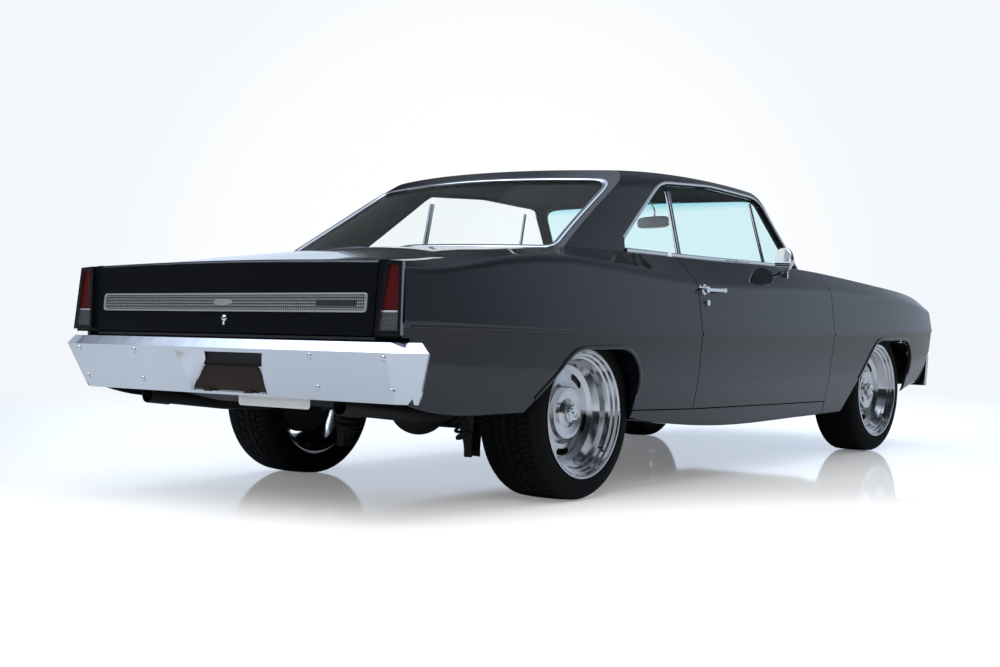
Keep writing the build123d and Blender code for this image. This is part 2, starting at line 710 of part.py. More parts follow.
def make_front_suspension():
    """Crossmember, lower and upper arms and the sprung dampers."""
    x = front_axle_x
    member = block(x - 60, x + 60, -350, 350, 180, 250)
    lower = [rod((x + dx, 340, 212), (x, kingpin_y - 6, knuckle_low_z - 12), 14) for dx in (-150, 110)]
    ball = Pos(x, kingpin_y, knuckle_low_z - 2) * Cylinder(20, 31.4)
    side = block(x - 170, x + 130, 322, 350, 196, 228)
    upper = [rod((x + dx, apron_y, 430), (x, kingpin_y - 10, knuckle_high_z + 10), 11) for dx in (-100, 100)]
    cap = Pos(x, kingpin_y, knuckle_high_z + 2) * Cylinder(18, 31.4)
    clear = block(0, 3000, apron_y + plate + seat_gap, 900, 200, apron_top_z - plate - seat_gap)
    upper = [arm & clear for arm in upper]
    arms = lower[0] + lower[1] + ball + side
    tops = upper[0] + upper[1] + cap
    return member + both_sides(arms) + both_sides(tops)


def make_rear_axle():
    """Axle tube with the differential, hub flanges, brakes and the propshaft."""
    spec = wheel_specs["rear"]
    x, z = spec["axle_x"], spec["radius"]
    back = hub_back_y(spec) - seat_gap
    tube = disc_y(x, z, -640, 640, axle_tube_radius)
    casing = Pos(x, 0, z) * Sphere(125)
    nose = rod((x, 0, z), (x + 230, 0, z - 6), 62)
    shaft = rod((x + 220, 0, z - 6), (500, 0, 330), 36)
    ends = disc_y(x, z, 630, back - 20, 60) + disc_y(x, z, 650, 690, 150) + disc_y(x, z, back - 22, back, hub_radius)
    return tube + casing + nose + shaft + both_sides(ends)


def make_rear_suspension():
    x, z = rear_axle_x, wheel_specs["rear"]["radius"]
    link = rod((x - 4, 450, z - axle_tube_radius - 19.3), (-760, 450, 270), 18)
    bush = block(-790, -730, 420, 480, 244, floor_z - seat_gap)
    damper = rod((x - 76, 455, z - 40), (x - 96, 455, rear_floor_z), 30)
    damper &= block(-3000, 0, 0, 900, 0, rear_floor_z - plate - seat_gap)
    return both_sides(link + bush) + both_sides(damper)


def make_engine():
    """The engine with its gearbox, as one plain block."""
    block_ = block(1010, 1720, -235, 235, 262, 800)
    box = block(500 + seat_gap, 1011, -130, 130, 270, 400)
    return block_ + box


tank_half = 430


def make_fuel_tank():
    top = trunk_floor_z - plate - seat_gap
    return extrude(outline_face([(-2140, top, 0), (-2140, 392, 20), (-1960, 352, 30), (-1720, 352, 20), (-1720, top, 0)]),
                   tank_half, both=True)


exhaust_route = [(1000, 290, 255), (600, 250, 250), (-980, 250, 250), (-1110, 290, 425), (-1400, 320, 430),
                 (-1640, 470, 330), (-1860, 500, 338), (-2154, 500, 373)]
pipe_radius = 29
tip_radius = 33
tip_wall = 3
tip_end = (-2245, 500, 383.8)


def make_exhaust():
    """Two pipes with their mufflers and wide open tips."""
    radii = [200, 120, 90, 90, 160, 160]
    path = FilletPolyline(*exhaust_route, radius=radii)
    pipe = sweep(Plane(origin=path @ 0, z_dir=path % 0) * Circle(pipe_radius), path=path)
    tip = rod(exhaust_route[-1], tip_end, tip_radius) - rod(exhaust_route[-1], tip_end, tip_radius - tip_wall)
    ring = rod(exhaust_route[-1], (-2146, 500, 372.05), tip_radius)
    muffler = block(-760, -260, 190, 340, 190, 276)
    hanger = block(-520, -500, 250, 280, 270, floor_z - seat_gap)
    return both_sides(pipe + ring + tip + muffler + hanger)


# ---- cabin ----
seat_y = 405
seat_half = 222
wheel_hub = (408, 380, 838)
column_tilt = 22


def make_front_seats():
    """Bucket seats: a cushion and a reclined back each."""
    cushion = extrude(outline_face([(-150, 330, 30), (-150, 470, 50), (340, 500, 50), (360, 380, 30), (300, 330, 10)]),
                      seat_half, both=True)
    back = extrude(outline_face([(-100, 400, 20), (-235, 440, 30), (-330, 940, 45), (-240, 950, 45), (-90, 500, 30)]),
                   seat_half - 8, both=True)
    rails = block(-100, 300, -180, 180, floor_z + plate + seat_gap, 332)
    return both_sides(Pos(0, seat_y, 0) * (cushion + back + rails))


def make_rear_seat():
    base = seat_pan_z + seat_gap
    cushion = extrude(outline_face([(-820, base, 0), (-800, 540, 30), (-480, 570, 60), (-462, 440, 30), (-500, base, 0)]),
                      660, both=True)
    back = extrude(outline_face([(-740, 500, 20), (-832, 486, 0), (-965, 900, 30), (-880, 915, 40), (-740, 600, 30)]),
                   500, both=True)
    return cushion + back


def make_dashboard():
    """Padded panel with the steering column on its driver's side."""
    panel = extrude(outline_face([(firewall_x, 860, 0), (firewall_x, 690, 0), (700, 640, 40), (560, 700, 30), (545, 860, 40),
                                  (640, 900, 30)]), door_inner_y - 6, both=True)
    hub = Vector(*wheel_hub)
    along = Vector(cos(radians(column_tilt)), 0, -sin(radians(column_tilt)))
    start = hub + along * (30 + seat_gap)
    column = rod(tuple(start), tuple(hub + along * 380), 26)
    return (panel + column) & block(0, firewall_x - seat_gap, -800, 800, 0, 1000)


def make_steering_wheel():
    hub = Vector(*wheel_hub)
    frame = Plane(origin=hub, x_dir=(0, 1, 0), z_dir=(cos(radians(column_tilt)), 0, -sin(radians(column_tilt))))
    rim = Torus(188, 13)
    boss = Cylinder(30, 60)
    spokes = [Rot(0, 0, a) * Pos(105, 0, 0) * Box(165, 26, 6) for a in (0, 180, 90)]
    return frame * (rim + boss + spokes)


os.makedirs("parts", exist_ok=True)
door = make_door()
door_glass = make_door_glass()
door_chrome = make_door_chrome()
nodes = {
    "roof": make_roof(),
    "quarter_panels": make_quarters(),
    "rear_deck": make_rear_deck(),
    "tail_panel": make_tail_panel(),
    "rockers": make_rockers(),
    "cowl": make_cowl(),
    "fenders": make_fenders(),
    "nose_panel": make_nose(),
    "grille": make_grille(),
    "headlamps": make_headlamps(),
    "tail_lamp_bezels": make_bezels(),
    "tail_lamps": make_lamps(),
    "rear_bumper": make_rear_bumper(),
    "front_bumper": make_front_bumper(),
    "windscreen": make_windscreen(),
    "rear_window": make_rear_window(),
    "quarter_windows": make_quarter_windows(),
    "hood": make_hood(),
    "decklid": make_decklid(),
    "door_left": door,
    "door_right": right_hand(door),
    "door_glass_left": door_glass,
    "door_glass_right": right_hand(door_glass),
    "door_chrome_left": door_chrome,
    "door_chrome_right": right_hand(door_chrome),
}
nodes.update({
    "floor_pan": make_floor_pan(),
    "front_structure": make_front_structure(),
    "front_suspension": make_front_suspension(),
    "rear_suspension": make_rear_suspension(),
    "rear_axle": make_rear_axle(),
    "engine": make_engine(),
    "fuel_tank": make_fuel_tank(),
    "exhaust": make_exhaust(),
    "front_seats": make_front_seats(),
    "rear_seat": make_rear_seat(),
    "dashboard": make_dashboard(),
    "steering_wheel": make_steering_wheel(),
    "knuckle_left": make_knuckle(),
    "knuckle_right": right_hand(make_knuckle()),
})
for axle, spec in wheel_specs.items():
    for side_name, side in (("left", 1), ("right", -1)):
        nodes[f"wheel_{axle}_{side_name}"] = make_wheel(spec, side)
        nodes[f"tyre_{axle}_{side_name}"] = make_tyre(spec, side)
for name, shape in nodes.items():
    export(name, shape)
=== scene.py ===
import bmesh
import bpy
import json
import numpy as np
from math import cos, pi, radians, sin, tan
from mathutils import Matrix, Vector
from mathutils.bvhtree import BVHTree


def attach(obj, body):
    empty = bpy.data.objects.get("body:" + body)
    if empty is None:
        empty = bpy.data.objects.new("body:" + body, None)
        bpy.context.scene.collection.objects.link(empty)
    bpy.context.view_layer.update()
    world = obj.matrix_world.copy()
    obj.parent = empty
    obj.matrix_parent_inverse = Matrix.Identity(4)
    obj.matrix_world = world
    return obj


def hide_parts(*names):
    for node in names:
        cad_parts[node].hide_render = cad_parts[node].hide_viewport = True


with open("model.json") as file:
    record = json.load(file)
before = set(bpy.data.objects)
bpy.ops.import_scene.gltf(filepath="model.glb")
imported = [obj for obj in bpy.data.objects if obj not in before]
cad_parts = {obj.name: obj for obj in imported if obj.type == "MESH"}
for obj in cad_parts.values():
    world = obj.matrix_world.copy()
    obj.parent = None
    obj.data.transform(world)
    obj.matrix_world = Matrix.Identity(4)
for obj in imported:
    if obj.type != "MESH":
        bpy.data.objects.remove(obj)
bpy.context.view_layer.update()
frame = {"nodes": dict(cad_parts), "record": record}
nodes = frame["nodes"]
sides = ((1, "Left"), (-1, "Right"))  # which way a side lies along y, and its word in names


class Term:  # one socket in a material; the usual operators add Math nodes behind it
    def __init__(self, finish, socket):
        self.finish, self.socket = finish, socket

    def math(self, operation, *values):
        return self.finish.node("Math", {"operation": operation}, dict(enumerate(values)))

    def vector(self, operation, *values, output=0):
        return self.finish.node("VectorMath", {"operation": operation}, dict(enumerate(values)), output)

    def __add__(self, other):
        return self.math("ADD", self, other)

    def __radd__(self, other):
        return self.math("ADD", other, self)

    def __sub__(self, other):
        return self.math("SUBTRACT", self, other)

    def __rsub__(self, other):
        return self.math("SUBTRACT", other, self)

    def __mul__(self, other):
        return self.math("MULTIPLY", self, other)

    def __pow__(self, other):
        return self.math("POWER", self, other)

    def absolute(self):
        return self.math("ABSOLUTE", self)

    def sine(self):
        return self.math("SINE", self)

    def above(self, edge):
        return self.math("GREATER_THAN", self, edge)

    def below(self, edge):
        return self.math("LESS_THAN", self, edge)

    def most(self, other):
        return self.math("MAXIMUM", self, other)

    def smooth(self, low, high):  # 0 below low, 1 above high, an eased step between
        return self.finish.node("MapRange", {"interpolation_type": "SMOOTHSTEP"},
                                {"Value": self, "From Min": low, "From Max": high})

    def dot(self, other):
        return self.vector("DOT_PRODUCT", self, other, output=1)

    def minus(self, other):
        return self.vector("SUBTRACT", self, other)

    def size(self):
        return self.vector("LENGTH", self, output=1)


socketNames = {
    "color": "Base Color", "metal": "Metallic", "rough": "Roughness", "coat": "Coat Weight",
    "coatRough": "Coat Roughness", "coatIor": "Coat IOR", "ior": "IOR", "normal": "Normal",
    "through": "Transmission Weight", "sheen": "Sheen Weight", "specular": "Specular IOR Level",
    "glow": "Emission Color", "glowStrength": "Emission Strength",
}
rayKinds = {"seen": 0, "diffuse": 2, "mirrored": 3, "through": 6}


class Wiring:  # a node tree that is being written
    def __init__(self, tree):
        self.tree = tree

    def feed(self, socket, value):
        if isinstance(value, Term):
            self.tree.links.new(value.socket, socket)
        else:
            socket.default_value = value

    def node(self, kind, settings=None, inputs=None, output=0):
        node = self.tree.nodes.new("ShaderNode" + kind)
        for key, value in (settings or {}).items():
            setattr(node, key, value)
        for key, value in (inputs or {}).items():
            self.feed(node.inputs[key], value)
        return Term(self, node.outputs[output])

    def place(self):
        return self.node("TexCoord", output=3)

    def facing(self):
        return self.node("TexCoord", output=1)

    def axis(self, index, vector=None):
        return self.node("SeparateXYZ", None, {0: vector or self.place()}, index)

    def rays(self, kind):
        return self.node("LightPath", output=rayKinds[kind])

    def noise(self, scale, detail=2.0):
        return self.node("TexNoise", None, {"Vector": self.place(), "Scale": scale, "Detail": detail})

    def blend(self, amount, first, second):
        mix = self.tree.nodes.new("ShaderNodeMix")
        mix.data_type = "RGBA"
        self.feed(mix.inputs[0], amount)
        self.feed(mix.inputs[6], first if isinstance(first, Term) else (*first, 1))
        self.feed(mix.inputs[7], second if isinstance(second, Term) else (*second, 1))
        return Term(self, mix.outputs[2])


class Finish(Wiring):  # a material under construction
    def __init__(self, name, **sockets):
        self.material = bpy.data.materials.new(name)
        self.material.use_nodes = True
        super().__init__(self.material.node_tree)
        self.shader = self.tree.nodes["Principled BSDF"]
        self.set(**sockets)

    def set(self, **sockets):
        for name, value in sockets.items():
            if name == "color" and not isinstance(value, Term):
                value = (*value, 1)
            self.feed(self.shader.inputs[socketNames[name]], value)
        return self

    def bump(self, height, strength, distance):
        values = {"Height": height, "Strength": strength, "Distance": distance}
        return self.set(normal=self.node("Bump", None, values))


def shades(color, spread):  # a darker and a lighter shade of a colour
    return tuple(c * (1 - spread) for c in color), tuple(c * (1 + spread) for c in color)


paintLook = dict(color=(0.0032, 0.0042, 0.0068), spread=0.22, flakeScale=1400, flakeShare=0.65, metal=0.3,
                 rough=0.34, liner=(0.016, 0.016, 0.017), linerRough=0.4, cabinCentre=(-0.1, 0, 0.75))


def makePaint():
    # charcoal metallic under clear lacquer; faces that look at the cabin's centre are black trim
    finish = Finish("charcoalPaint", coatRough=0.01, coatIor=1.5, specular=0.1)
    look = paintLook
    grain = finish.noise(look["flakeScale"], 0.0)
    inward = finish.facing().dot(finish.place().minus(look["cabinCentre"])).below(-0.02)
    flakes = finish.noise(1.7, 1.0) * (1 - look["flakeShare"]) + grain * look["flakeShare"]
    outer = finish.blend(flakes, *shades(look["color"], look["spread"]))
    finish.set(color=finish.blend(inward, outer, look["liner"]), metal=(1 - inward) * look["metal"],
               rough=look["rough"] + grain * 0.06 + inward * look["linerRough"], coat=1 - inward)
    return finish.bump(grain, 0.03, 0.0002)


def makeChrome():
    # bright plating with the faint waviness of a polished pressing
    finish = Finish("brightChrome", metal=1.0)
    wave = finish.noise(5)
    finish.set(color=finish.blend(wave, (0.79, 0.81, 0.85), (0.85, 0.87, 0.91)),
               rough=finish.noise(40, 4.0).smooth(0.3, 0.8) * 0.07 + 0.02)
    return finish.bump(wave, 0.25, 0.004)


def makeTrim(name, dark, bright):
    finish = Finish(name, metal=1.0)
    return finish.set(color=finish.blend(finish.noise(20), dark, bright),
                      rough=finish.noise(60, 3.0) * 0.10 + 0.08)


def makeGlass(name, tint, bandHeight=None):
    # thin tinted glass; a windscreen darkens to a blue band above a height
    finish = Finish(name, rough=0.0, through=1.0, ior=1.01, coat=0.12, coatRough=0.0, specular=0.0)
    color = finish.blend(finish.noise(3, 1.0), tint, tuple(c * 0.985 for c in tint))
    if bandHeight:
        band = finish.axis(2).smooth(bandHeight - 0.05, bandHeight + 0.03)
        color = finish.blend(band, color, (0.20, 0.62, 0.74))
    return finish.set(color=color)


alloyLook = dict(dark=(0.62, 0.62, 0.63), bright=(0.80, 0.80, 0.80), centreX=1.397, centreZ=0.3255,
                 ringScale=2600)


def makeAlloy():
    # turned and polished: fine rings sin(scale r) about a point as far ahead of the origin as behind it
    finish = Finish("polishedAlloy", metal=1.0)
    height = finish.axis(2) - alloyLook["centreZ"]
    along = finish.axis(0).absolute() - alloyLook["centreX"]
    rings = ((along * along + height * height) ** 0.5 * alloyLook["ringScale"]).sine()
    dust = finish.noise(9, 3.0)
    finish.set(color=finish.blend(dust, alloyLook["dark"], alloyLook["bright"]),
               rough=rings * 0.02 + dust * 0.10 + 0.07)
    return finish.bump(rings, 0.04, 0.0002)


def makeRubber():
    finish = Finish("tyreRubber", specular=0.12)
    grain = finish.noise(45, 4.0)
    finish.set(color=finish.blend(grain, (0.0015, 0.0015, 0.002), (0.0045, 0.0045, 0.005)),
               rough=grain * 0.2 + 0.55)
    return finish.bump(finish.noise(700), 0.15, 0.0004)


def makeDark(name, color, rough, metal=0.0):
    finish = Finish(name, metal=metal)
    cloud = finish.noise(9, 4.0)
    finish.set(color=finish.blend(cloud, *shades(color, 0.35)), rough=cloud * 0.25 + rough)
    return finish.bump(finish.noise(300.0, 3.0), 0.12, 0.0006)


def makeVinyl():
    # grained seat vinyl
    finish = Finish("seatVinyl", sheen=0.15)
    grain = finish.noise(420, 3.0)
    finish.set(color=finish.blend(finish.noise(7), (0.012, 0.012, 0.0125), (0.024, 0.024, 0.025)),
               rough=grain * 0.2 + 0.38)
    return finish.bump(grain, 0.25, 0.0008)


lensLook = dict(headCell=0.009, headDeep=(0.30, 0.31, 0.33), headBright=(0.74, 0.75, 0.77), tailCell=0.008,
                divider=0.701, redDeep=(0.024, 0.0003, 0.0005), redBright=(0.13, 0.0015, 0.002),
                clearDeep=(0.008, 0.009, 0.010), clearBright=(0.15, 0.155, 0.17))


def squares(finish, cell):  # |sin(2 pi y / cell) sin(2 pi z / cell)|, the moulded pattern of a lens
    return ((finish.axis(1) * (2 * pi / cell)).sine() * (finish.axis(2) * (2 * pi / cell)).sine()).absolute()


def makeHeadLens():
    finish = Finish("clearLens", coat=1.0, coatRough=0.02, specular=0.6)
    prism = squares(finish, lensLook["headCell"])
    finish.set(color=finish.blend(prism, lensLook["headDeep"], lensLook["headBright"]),
               rough=prism * 0.15 + 0.12)
    return finish.bump(prism, 0.3, 0.001)


def makeTailLens():
    # a red lens above the divider and a fluted clear one below it
    finish = Finish("tailLens", coat=0.6, coatRough=0.02, specular=0.3)
    prism = squares(finish, lensLook["tailCell"])
    red = finish.blend(prism, lensLook["redDeep"], lensLook["redBright"])
    clear = finish.blend(prism, lensLook["clearDeep"], lensLook["clearBright"])
    upper = finish.axis(2).above(lensLook["divider"])
    finish.set(color=finish.blend(upper, clear, red), rough=prism * 0.12 + 0.12)
    return finish.bump(prism, 0.3, 0.001)


stripLook = dict(cellY=0.0102, cellZ=0.0104, foot=0.7035, ground=(0.004, 0.004, 0.005),
                 cell=(0.36, 0.37, 0.40))


def makeStripMetal():
    # satin cells on a dark ground: the shade follows the distance from each cell's edges
    finish = Finish("satinStrip")
    across = (finish.axis(1) * (pi / stripLook["cellY"])).sine().absolute()
    up = ((finish.axis(2) - stripLook["foot"]) * (pi / stripLook["cellZ"])).sine().absolute()
    cell = (across * up).smooth(0.42, 0.62)
    return finish.set(color=finish.blend(cell, stripLook["ground"], stripLook["cell"]),
                      rough=0.42 - cell * 0.14, metal=cell * 0.3)


def makePlain(name, color, rough, metal=0.0):
    finish = Finish(name, metal=metal)
    return finish.set(color=finish.blend(finish.noise(12, 3.0), *shades(color, 0.06)),
                      rough=finish.noise(30, 3.0) * 0.08 + rough)


paint = makePaint()
chrome = makeChrome()
trim = makeTrim("brightTrim", (0.72, 0.73, 0.75), (0.84, 0.85, 0.86))
# the tail lamp bezels' chrome, darkened: painted shade standing in for the dark reflections they show
shadedLampTrim = makeTrim("shadedLampTrim", (0.30, 0.31, 0.33), (0.42, 0.43, 0.45))
clearGlass = makeGlass("tintedGlass", (0.955, 0.985, 0.99))
screenGlass = makeGlass("screenGlass", (0.70, 0.93, 0.965), 1.27)
alloy = makeAlloy()
rubber = makeRubber()
blackSteel = makeDark("satinBlackSteel", (0.012, 0.012, 0.013), 0.45)
castIron = makeDark("castIron", (0.03, 0.029, 0.028), 0.5)
blackRubber = makeDark("weatherSeal", (0.008, 0.008, 0.008), 0.5)
vinyl = makeVinyl()
tankSteel = makeDark("tankSteel", (0.05, 0.05, 0.052), 0.4, 0.6)
pipeSteel = makeDark("pipeSteel", (0.02, 0.019, 0.018), 0.42, 0.5)
redLens = makeTailLens()
clearLens = makeHeadLens()
stripMetal = makeStripMetal()
satinSilver = makePlain("satinSilver", (0.56, 0.57, 0.60), 0.16, 0.55)
stripDark = makePlain("stripRecess", (0.012, 0.012, 0.013), 0.5)
bronzeSteel = makeDark("bronzeSteel", (0.045, 0.033, 0.026), 0.32, 0.7)
mirrorGlass = makePlain("mirrorGlass", (0.86, 0.87, 0.88), 0.0, 1.0)
# the inside mirror's face is a pale matte colour, not a mirror: a painted reflection
innerGlass = makePlain("innerMirrorGlass", (0.90, 0.93, 0.95), 0.30, 0.0)
blankPlate = makePlain("blankPlate", (0.72, 0.73, 0.75), 0.35)

looks = {
    "body_paint": paint, "chrome_trim": chrome, "grille_metal": trim, "lamp_glass": clearLens,
    "red_lens": redLens, "tinted_glass": clearGlass, "underbody": blackSteel, "suspension_steel": blackSteel,
    "axle_iron": castIron, "tank_steel": tankSteel, "seat_vinyl": vinyl, "cabin_plastic": vinyl,
    "polished_alloy": alloy, "tyre_rubber": rubber,
}
# the tail panel behind the bumper's recess wears satin black steel in place of body paint: painted shade for
# the dark recess
ownLooks = {"windscreen": screenGlass, "exhaust": pipeSteel, "grille": trim, "tail_panel": blackSteel,
            "tail_lamp_bezels": shadedLampTrim}


def dress(name, finish):
    mesh = nodes[name].data
    mesh.materials.clear()
    mesh.materials.append(finish.material)


for part in frame["record"]["subparts"]:
    dress(part["node"], ownLooks.get(part["node"], looks[part["material_slot"]]))
print("finishes on the carried-over pieces")


def gridFaces(rows, cols, closeRows=False, closeCols=False):
    # quads (r, c), (r+1, c), (r+1, c+1), (r, c+1) of a grid of points, as index rows
    r = np.arange(rows if closeRows else rows - 1)[:, None]
    c = np.arange(cols if closeCols else cols - 1)[None, :]
    nextR, nextC = (r + 1) % rows, (c + 1) % cols
    corners = r * cols + c, nextR * cols + c, nextR * cols + nextC, r * cols + nextC
    return np.stack(np.broadcast_arrays(*corners), -1).reshape(-1, 4).tolist()


def tubeFaces(rows, cols):
    # a grid of closed rings with a face over each end
    ends = [list(range(cols)), list(range((rows - 1) * cols, rows * cols))]
    return gridFaces(rows, cols, False, True) + ends


def addPiece(name, points, faces, finish, body="root", slot="chrome_trim", crease=35):
    # a mesh from a point array and face rows, with its faces turned outwards
    mesh = bpy.data.meshes.new(name)
    mesh.from_pydata(np.asarray(points, float).reshape(-1, 3).tolist(), [], faces)
    work = bmesh.new()
    work.from_mesh(mesh)
    bmesh.ops.remove_doubles(work, verts=work.verts, dist=1e-6)
    bmesh.ops.recalc_face_normals(work, faces=work.faces)
    work.to_mesh(mesh)
    work.free()
    mesh.shade_smooth()
    mesh.set_sharp_from_angle(angle=radians(crease))
    mesh.materials.append(finish.material)
    piece = bpy.data.objects.new(name, mesh)
    bpy.context.scene.collection.objects.link(piece)
    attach(piece, body)
    return piece


def unit(vectors):
    return vectors / np.linalg.norm(vectors, axis=-1, keepdims=True)


def fullTurn(count):
    return np.linspace(0, 2 * pi, count, endpoint=False)


def superOval(width, height, power, count):
    # closed outline x = w/2 cos^(2/n), y = h/2 sin^(2/n): n = 2 is an ellipse, a larger n a rounded box
    c, s = np.cos(fullTurn(count)), np.sin(fullTurn(count))
    return np.stack([width / 2 * np.sign(c) * np.abs(c) ** (2 / power),
                     height / 2 * np.sign(s) * np.abs(s) ** (2 / power)], 1)


def circle(radius, count):
    # x = r cos t, y = r sin t
    return np.stack([np.cos(fullTurn(count)), np.sin(fullTurn(count))], 1) * radius


def sweep(name, path, profile, up, finish, closed=False, **facts):
    # point(i, j) = path(i) + side(i) profile(j, 0) + lift(i) profile(j, 1), where side = tangent x up
    path = np.asarray(path, float)
    if closed:
        tangent = unit(np.roll(path, -1, 0) - np.roll(path, 1, 0))
    else:
        tangent = unit(np.gradient(path, axis=0))
    side = unit(np.cross(tangent, np.broadcast_to(np.asarray(up, float), path.shape)))
    lift = np.cross(side, tangent)
    grid = path[:, None] + side[:, None] * profile[None, :, 0:1] + lift[:, None] * profile[None, :, 1:2]
    rows, cols = grid.shape[:2]
    faces = gridFaces(rows, cols, True, True) if closed else tubeFaces(rows, cols)
    return addPiece(name, grid, faces, finish, **facts)


def stationed(corners, spacing, closed=False):
    # the polyline through the corners, cut into even steps
    corners = np.asarray(corners, float)
    if closed:
        corners = np.vstack([corners, corners[:1]])
    travel = np.concatenate([[0], np.cumsum(np.linalg.norm(np.diff(corners, axis=0), axis=1))])
    count = max(3, int(round(travel[-1] / spacing)))
    stops = np.linspace(0, travel[-1], count + 1)[: count if closed else count + 1]
    return np.stack([np.interp(stops, travel, corners[:, k]) for k in range(corners.shape[1])], 1)


def softened(path, reach, closed=False):
    # each point moves to the mean of its neighbours within a reach, twice; an open path keeps its ends
    for _ in range(2):
        padded = np.concatenate([path[-reach:], path, path[:reach]]) if closed else np.concatenate(
            [2 * path[:1] - path[reach:0:-1], path, 2 * path[-1:] - path[-2:-reach - 2:-1]])
        window = np.ones(2 * reach + 1) / (2 * reach + 1)
        path = np.stack([np.convolve(padded[:, k], window, "valid") for k in range(path.shape[1])], 1)
    return path


def rayTree(*names):
    # the carried-over pieces that a trim sits on, as one tree for rays
    work = bmesh.new()
    for name in names:
        work.from_mesh(nodes[name].data)
    tree = BVHTree.FromBMesh(work)
    work.free()
    return tree


def landing(tree, starts, heading):
    # where rays from the starts first meet the tree, without the rays that miss
    heading = Vector(heading)
    hits = [tree.ray_cast(Vector(start), heading)[0] for start in starts]
    return np.array([hit for hit in hits if hit], float)


def domes(name, centres, outward, radius, height, finish, **facts):
    # round-headed bolts: rings of radius r sin t at height h cos t about each centre
    t = np.linspace(pi / 2, 0.001, 6)
    a = fullTurn(16)
    outward = unit(np.asarray(outward, float))
    side = unit(np.cross(outward, (0, 0.1, 1)))
    other = np.cross(outward, side)
    turn = np.cos(a)[None, :, None] * side + np.sin(a)[None, :, None] * other
    rings = np.sin(t)[:, None, None] * radius * turn + np.cos(t)[:, None, None] * height * outward
    skirt = rings[:1] - outward * 0.004
    one = np.concatenate([skirt, rings]).reshape(-1, 3)
    points = [one + np.asarray(centre, float) for centre in centres]
    faces = [[k + i * len(one) for k in face] for i in range(len(points)) for face in tubeFaces(7, 16)]
    return addPiece(name, np.concatenate(points), faces, finish, **facts)


def slab(name, outline, depth, place, finish, edge=0.0, **facts):
    # a flat outline given depth, with an optional bevel: place maps (u, v, w) arrays to points
    outline = np.asarray(outline, float)
    centre = outline.mean(0)
    scale = 1 - edge / np.abs(outline - centre).max()
    inner = centre + (outline - centre) * scale
    layers = [(outline, 0.0), (outline, depth - edge)] + ([(inner, depth)] if edge else [])
    grid = np.concatenate([place(ring[:, 0], ring[:, 1], np.full(len(ring), w)) for ring, w in layers])
    return addPiece(name, grid, tubeFaces(len(layers), len(outline)), finish, **facts)


def facingBack(x):  # maps y, z and depth to a plate whose face looks back from x
    return lambda u, v, w: np.stack([x - w, u, v], 1)


studio = dict(
    floorSize=60.0, floorColor=(0.84, 0.85, 0.86), floorMirrored=(0.50, 0.55, 0.62), farFloor=0.50,
    spot=(-0.3, -0.6, 0), spotFade=(3.0, 9.0), gloss=0.80, glossFade=(-2.3, -0.9),
    glowNear=(0.30, 0.295, 0.29), glowFar=(0.26, 0.27, 0.285), glowFade=(-1.6, 1.2),
    backdrop=(0.896, 0.930, 0.965), white=(1.0, 1.0, 1.0), whiteFrom=(0.955, 0.992),
    mirrorTint=(0.80, 0.93, 1.13), fill=0.75, fillColor=(0.96, 0.98, 1.0), ahead=(0.793, 0.609, 0.0),
)
sky = dict(  # the lights that reflections see; a From pair says how near its axis one begins and is full
    cove=0.62, coveAxis=(0.965, -0.223, 0.139), coveFrom=(0.70, 1.0), sideAxis=(0.0, 1.0, 0.05),
    sideFrom=(0.80, 1.0), coveTop=(0.20, 0.55), softbox=2.6, softboxAxis=(-0.45, 0.35, 0.82),
    softboxFrom=(0.80, 0.93), horizon=1.0, horizonFrom=(0.90, 0.97), horizonTop=(0.16, 0.24),
    overhead=0.9, overheadFrom=(0.70, 0.90), ceiling=0.16, ceilingFrom=(0.30, 0.60), room=0.02,
)
lamps = {
    "overhead": dict(place=(0, 0, 5.5), aim=(0, 0, 0), size=(9, 6), power=200),
    "rearRight": dict(place=(-5.0, -4.5, 4.0), aim=(-1, 0, 0.4), size=(3, 2), power=90),
}
view = dict(place=(-5.6759, -3.8082, 0.6806), yaw=37.528, pitch=-0.582, roll=0.634, lens=51.01, sensor=36.0)


def makeFloor():
    # gloss fades towards the camera and far off; beyond the object the floor glows as the backdrop does
    size = studio["floorSize"]
    mesh = bpy.data.meshes.new("floor")
    corners = [(-size, -size, 0), (size, -size, 0), (size, size, 0), (-size, size, 0)]
    mesh.from_pydata(corners, [], [(0, 1, 2, 3)])
    floor = bpy.data.objects.new("floor", mesh)
    bpy.context.scene.collection.objects.link(floor)
    finish = Finish("paleFloor", rough=0.35, specular=0.0, coatRough=0.06, coatIor=1.25, glowStrength=1.0)
    ahead = finish.place().dot(studio["ahead"])
    outside = finish.place().minus(studio["spot"]).size().smooth(*studio["spotFade"])
    mirrored = finish.rays("mirrored")
    lit = finish.blend(mirrored, studio["floorColor"], studio["floorMirrored"])
    gloss = ahead.smooth(*studio["glossFade"]) * (1 - outside)
    near = finish.blend(ahead.smooth(*studio["glowFade"]), studio["glowNear"], studio["glowFar"])
    glow = finish.blend(outside, near, studio["backdrop"])
    dim = finish.blend(mirrored * outside * studio["farFloor"], (0, 0, 0), studio["backdrop"])
    seen = finish.rays("seen").most(finish.rays("through"))
    finish.set(color=finish.blend(outside, lit, (0, 0, 0)), coat=gloss * studio["gloss"],
               glow=finish.blend(seen, dim, glow), rough=finish.noise(0.3) * 0.1 + 0.3)
    mesh.materials.append(finish.material)


